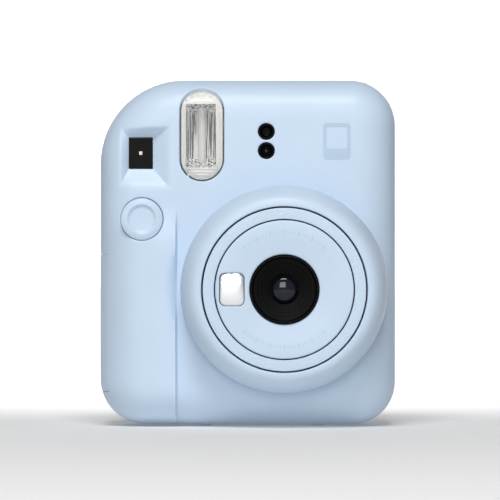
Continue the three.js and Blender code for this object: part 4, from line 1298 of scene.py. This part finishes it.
def build_counter():
    """The exposure counter: a numbered disc behind a small window."""
    low, high = span("counter_window")
    pane = node_outline("counter_window", 0.0, 0.8)
    plate("counter_pane", pane, high.y, low.y, WINDOW, "camera", ("counter_window",), 0.2)
    x, _, z = middle("counter_disc")
    radius, hub, under, face = 6.5, 1.2, 29.0, 29.8
    disc = rounded_profile([
        (0, 25), (hub, 25, 0.2), (hub, under), (radius, under, 0.15), (radius, face, 0.15),
        (hub, face), (hub, 30.6, 0.2), (0, 30.6),
    ])
    lathe("counter_wheel", disc, x, z, ACETAL, "counter", 96, 35, ("counter_disc",))
    for i in range(11):
        label = str(10 - i)
        angle = TURN * i / 12
        mesh = digit_mesh(label, 2.4)
        for vert in mesh.vertices:
            across, up, out = vert.co
            up += 4.3 * MM
            turned_x = -across * math.cos(angle) + up * math.sin(angle)
            turned_z = across * math.sin(angle) + up * math.cos(angle)
            vert.co = (x * MM + turned_x, (face + 0.04) * MM + out, z * MM + turned_z)
        finish_object(f"counter_digit_{label}", mesh, BLACK, "counter")


def build_screws():
    for node in SCREWS:
        softened(node, STEEL, 0.15)


def build_emblem():
    """A generic picture-sheet sign, tone on tone."""
    y = FRONT_EDGE - FRONT_ROUND
    sheet = Outline(26.4, 93.9, 36.0, 106.6, 1.2)
    window = Outline(27.6, 97.6, 34.8, 105.3, 0.6)

    def face(x, z):
        return (x, y - 0.12, z)

    skin("sheet_sign", sheet, face, flat_back(y + 0.05), MARKING, "camera", openings=[window], grid=1.2)


def dress_inner_parts():
    """Better surfaces for the CAD nodes that stay."""
    looks = {
        BLACK: "lens_barrel shutter_plate shutter_blade_left shutter_blade_right lens_holder light_box "
               "finder_tunnel",
        STEEL: "door_hinge_pin shutter_solenoid pinch_roller finder_parallax_mask battery_spring",
        RUBBER: "drive_roller",
        ACETAL: "idler_gear motor_pinion",
        GLASS: "rear_lens",
        SLEEVE: "flash_capacitor",
    }
    for material, names in looks.items():
        for node in names.split():
            for slot in frame["nodes"][node].material_slots:
                slot.material = material
    soft = {
        BLACK: "film_chamber battery_tray",
        STEEL: "roller_bracket_left roller_bracket_right gear_plate film_pick film_motor battery_contact "
               "film_pressure_spring_left film_pressure_spring_right",
        BOARD: "main_board power_board shutter_switch_board",
    }
    for material, names in soft.items():
        for node in names.split():
            softened(node, material, 0.2)


def build_batteries():
    """Two sleeved cells, each with a steel base and tip; one stands on its head."""
    for node, up in (("battery_front", 1), ("battery_rear", -1)):
        low, high = span(node)
        x, y, _ = middle(node)
        radius, tip = (high.x - low.x) / 2, 1.0
        base, shoulder = (low.z, high.z - tip) if up > 0 else (high.z, low.z + tip)

        def cell_part(name, bottom, top, radius, material, sides, bevel, replaces=()):
            start, end = (x, y, bottom), (x, y, top)
            rod_object(f"{node}_{name}", start, end, radius, material, "camera", sides, bevel, replaces)

        cell_part("sleeve", base + up * 0.3, shoulder, radius, SLEEVE, 64, 0.8, (node,))
        cell_part("tip", shoulder - up * 0.5, shoulder + up * tip, 2.6, STEEL, 40, 0.4)
        cell_part("base", base, base + up * 0.6, radius - 1.6, STEEL, 48, 0.2)


# ---------- stage ----------

def build_stage():
    """A pale floor that glows behind the camera, so that it runs into the white backdrop."""
    mesh = bpy.data.meshes.new("floor")
    size = 5.6
    corners = [(-size, -size, 0), (size, -size, 0), (size, size, 0), (-size, size, 0)]
    mesh.from_pydata(corners, [], [(0, 1, 2, 3)])
    floor = bpy.data.objects.new("floor", mesh)
    bpy.context.scene.collection.objects.link(floor)
    nodes = Nodes("floor_white")
    patch = nodes.node("ShaderNodeMapping", Vector=nodes.place, Location=(0, -1.1, 0), Scale=(1, 0.35, 1))
    reach = nodes.node("ShaderNodeVectorMath", Vector=patch.outputs["Vector"])
    reach.operation = "LENGTH"
    # Painted light: the floor glows with emission 0.95 far behind the object and 0.1 everywhere else, under
    # the object too.
    glow = nodes.node("ShaderNodeMapRange", Value=reach.outputs["Value"])
    nodes.fill(glow, {"From Min": 0.98, "From Max": 1.11, "To Min": 0.95, "To Max": 0.1})
    glow.interpolation_type = "SMOOTHSTEP"
    nodes.set(
        Base_Color=nodes.ramp(nodes.noise(3.0), (0.78, 0.78, 0.78), (0.8, 0.8, 0.8)),
        Roughness=0.9,
        Emission_Color=(1.0, 1.0, 1.0, 1.0),
        Emission_Strength=glow.outputs["Result"],
    )
    mesh.materials.append(nodes.material)


def softbox(name, place, target, width, height, power):
    """A rectangular light aimed at a target, in metres and watts."""
    lamp = bpy.data.lights.new(name, "AREA")
    lamp.shape = "RECTANGLE"
    lamp.size, lamp.size_y = width, height
    lamp.energy = power
    holder = bpy.data.objects.new(name, lamp)
    bpy.context.scene.collection.objects.link(holder)
    holder.location = place
    holder.rotation_euler = (Vector(target) - Vector(place)).to_track_quat("-Z", "Y").to_euler()


# Brightness round the object, from straight in front (0) over the sides (0.5) to straight behind (1).
SKY = [(0.0, 0.44), (0.13, 0.28), (0.34, 0.02), (0.72, 0.02), (0.92, 0.4), (0.985, 1.5)]


def build_world():
    """Surroundings whose brightness depends on the direction along Y, as SKY says."""
    world = bpy.data.worlds.new("studio")
    bpy.context.scene.world = world
    world.use_nodes = True
    tree = world.node_tree
    direction = tree.nodes.new("ShaderNodeTexCoord")
    split = tree.nodes.new("ShaderNodeSeparateXYZ")
    ramp = tree.nodes.new("ShaderNodeValToRGB")
    half = tree.nodes.new("ShaderNodeMapRange")
    half.inputs["From Min"].default_value = -1.0
    tree.links.new(direction.outputs["Generated"], split.inputs["Vector"])
    tree.links.new(split.outputs["Y"], half.inputs["Value"])
    tree.links.new(half.outputs["Result"], ramp.inputs["Fac"])
    tree.links.new(ramp.outputs["Color"], tree.nodes["Background"].inputs["Color"])
    tree.nodes["Background"].inputs["Strength"].default_value = 1.0
    elements = ramp.color_ramp.elements
    elements[0].position, elements[0].color = SKY[0][0], (*[SKY[0][1]] * 3, 1)
    elements[1].position, elements[1].color = SKY[-1][0], (*[SKY[-1][1]] * 3, 1)
    for position, brightness in SKY[1:-1]:
        elements.new(position).color = (*[brightness] * 3, 1)


def build_lights():
    """A softbox above the camera's front and a weaker one in front of it."""
    target = (0, 0, 0.06)
    softbox("key", (-0.06, -0.85, 1.25), target, 0.6, 0.5, 13.5)
    softbox("front", (-0.12, -1.4, 0.45), target, 0.5, 0.5, 4.2)


VIEW = {"x": 0.78, "z": 62.1, "distance": 1500.0, "width": 176.9}
SENSOR_WIDTH = 36.0


def build_camera():
    """A long lens straight in front; VIEW's width is what it sees at the object."""
    lens = bpy.data.cameras.new("camera")
    lens.sensor_width = SENSOR_WIDTH
    lens.lens = SENSOR_WIDTH * VIEW["distance"] / VIEW["width"]
    lens.clip_start, lens.clip_end = 0.05, 20.0
    viewer = bpy.data.objects.new("camera", lens)
    bpy.context.scene.collection.objects.link(viewer)
    viewer.location = Vector((VIEW["x"], -VIEW["distance"], VIEW["z"])) * MM
    viewer.rotation_euler = (math.pi / 2, 0, 0)
    bpy.context.scene.camera = viewer


build_front_shell()
build_rear_shell()
build_film_door()
build_battery_cover()
build_dome()
build_dial()
build_face()
build_hood()
build_button()
build_flash()
build_sensors()
build_finder()
build_strap_lugs()
build_film_exit()
build_latch()
build_counter()
build_screws()
build_emblem()
build_batteries()
dress_inner_parts()
build_stage()
build_world()
build_lights()
build_camera()
bpy.context.scene.view_settings.view_transform = "Standard"
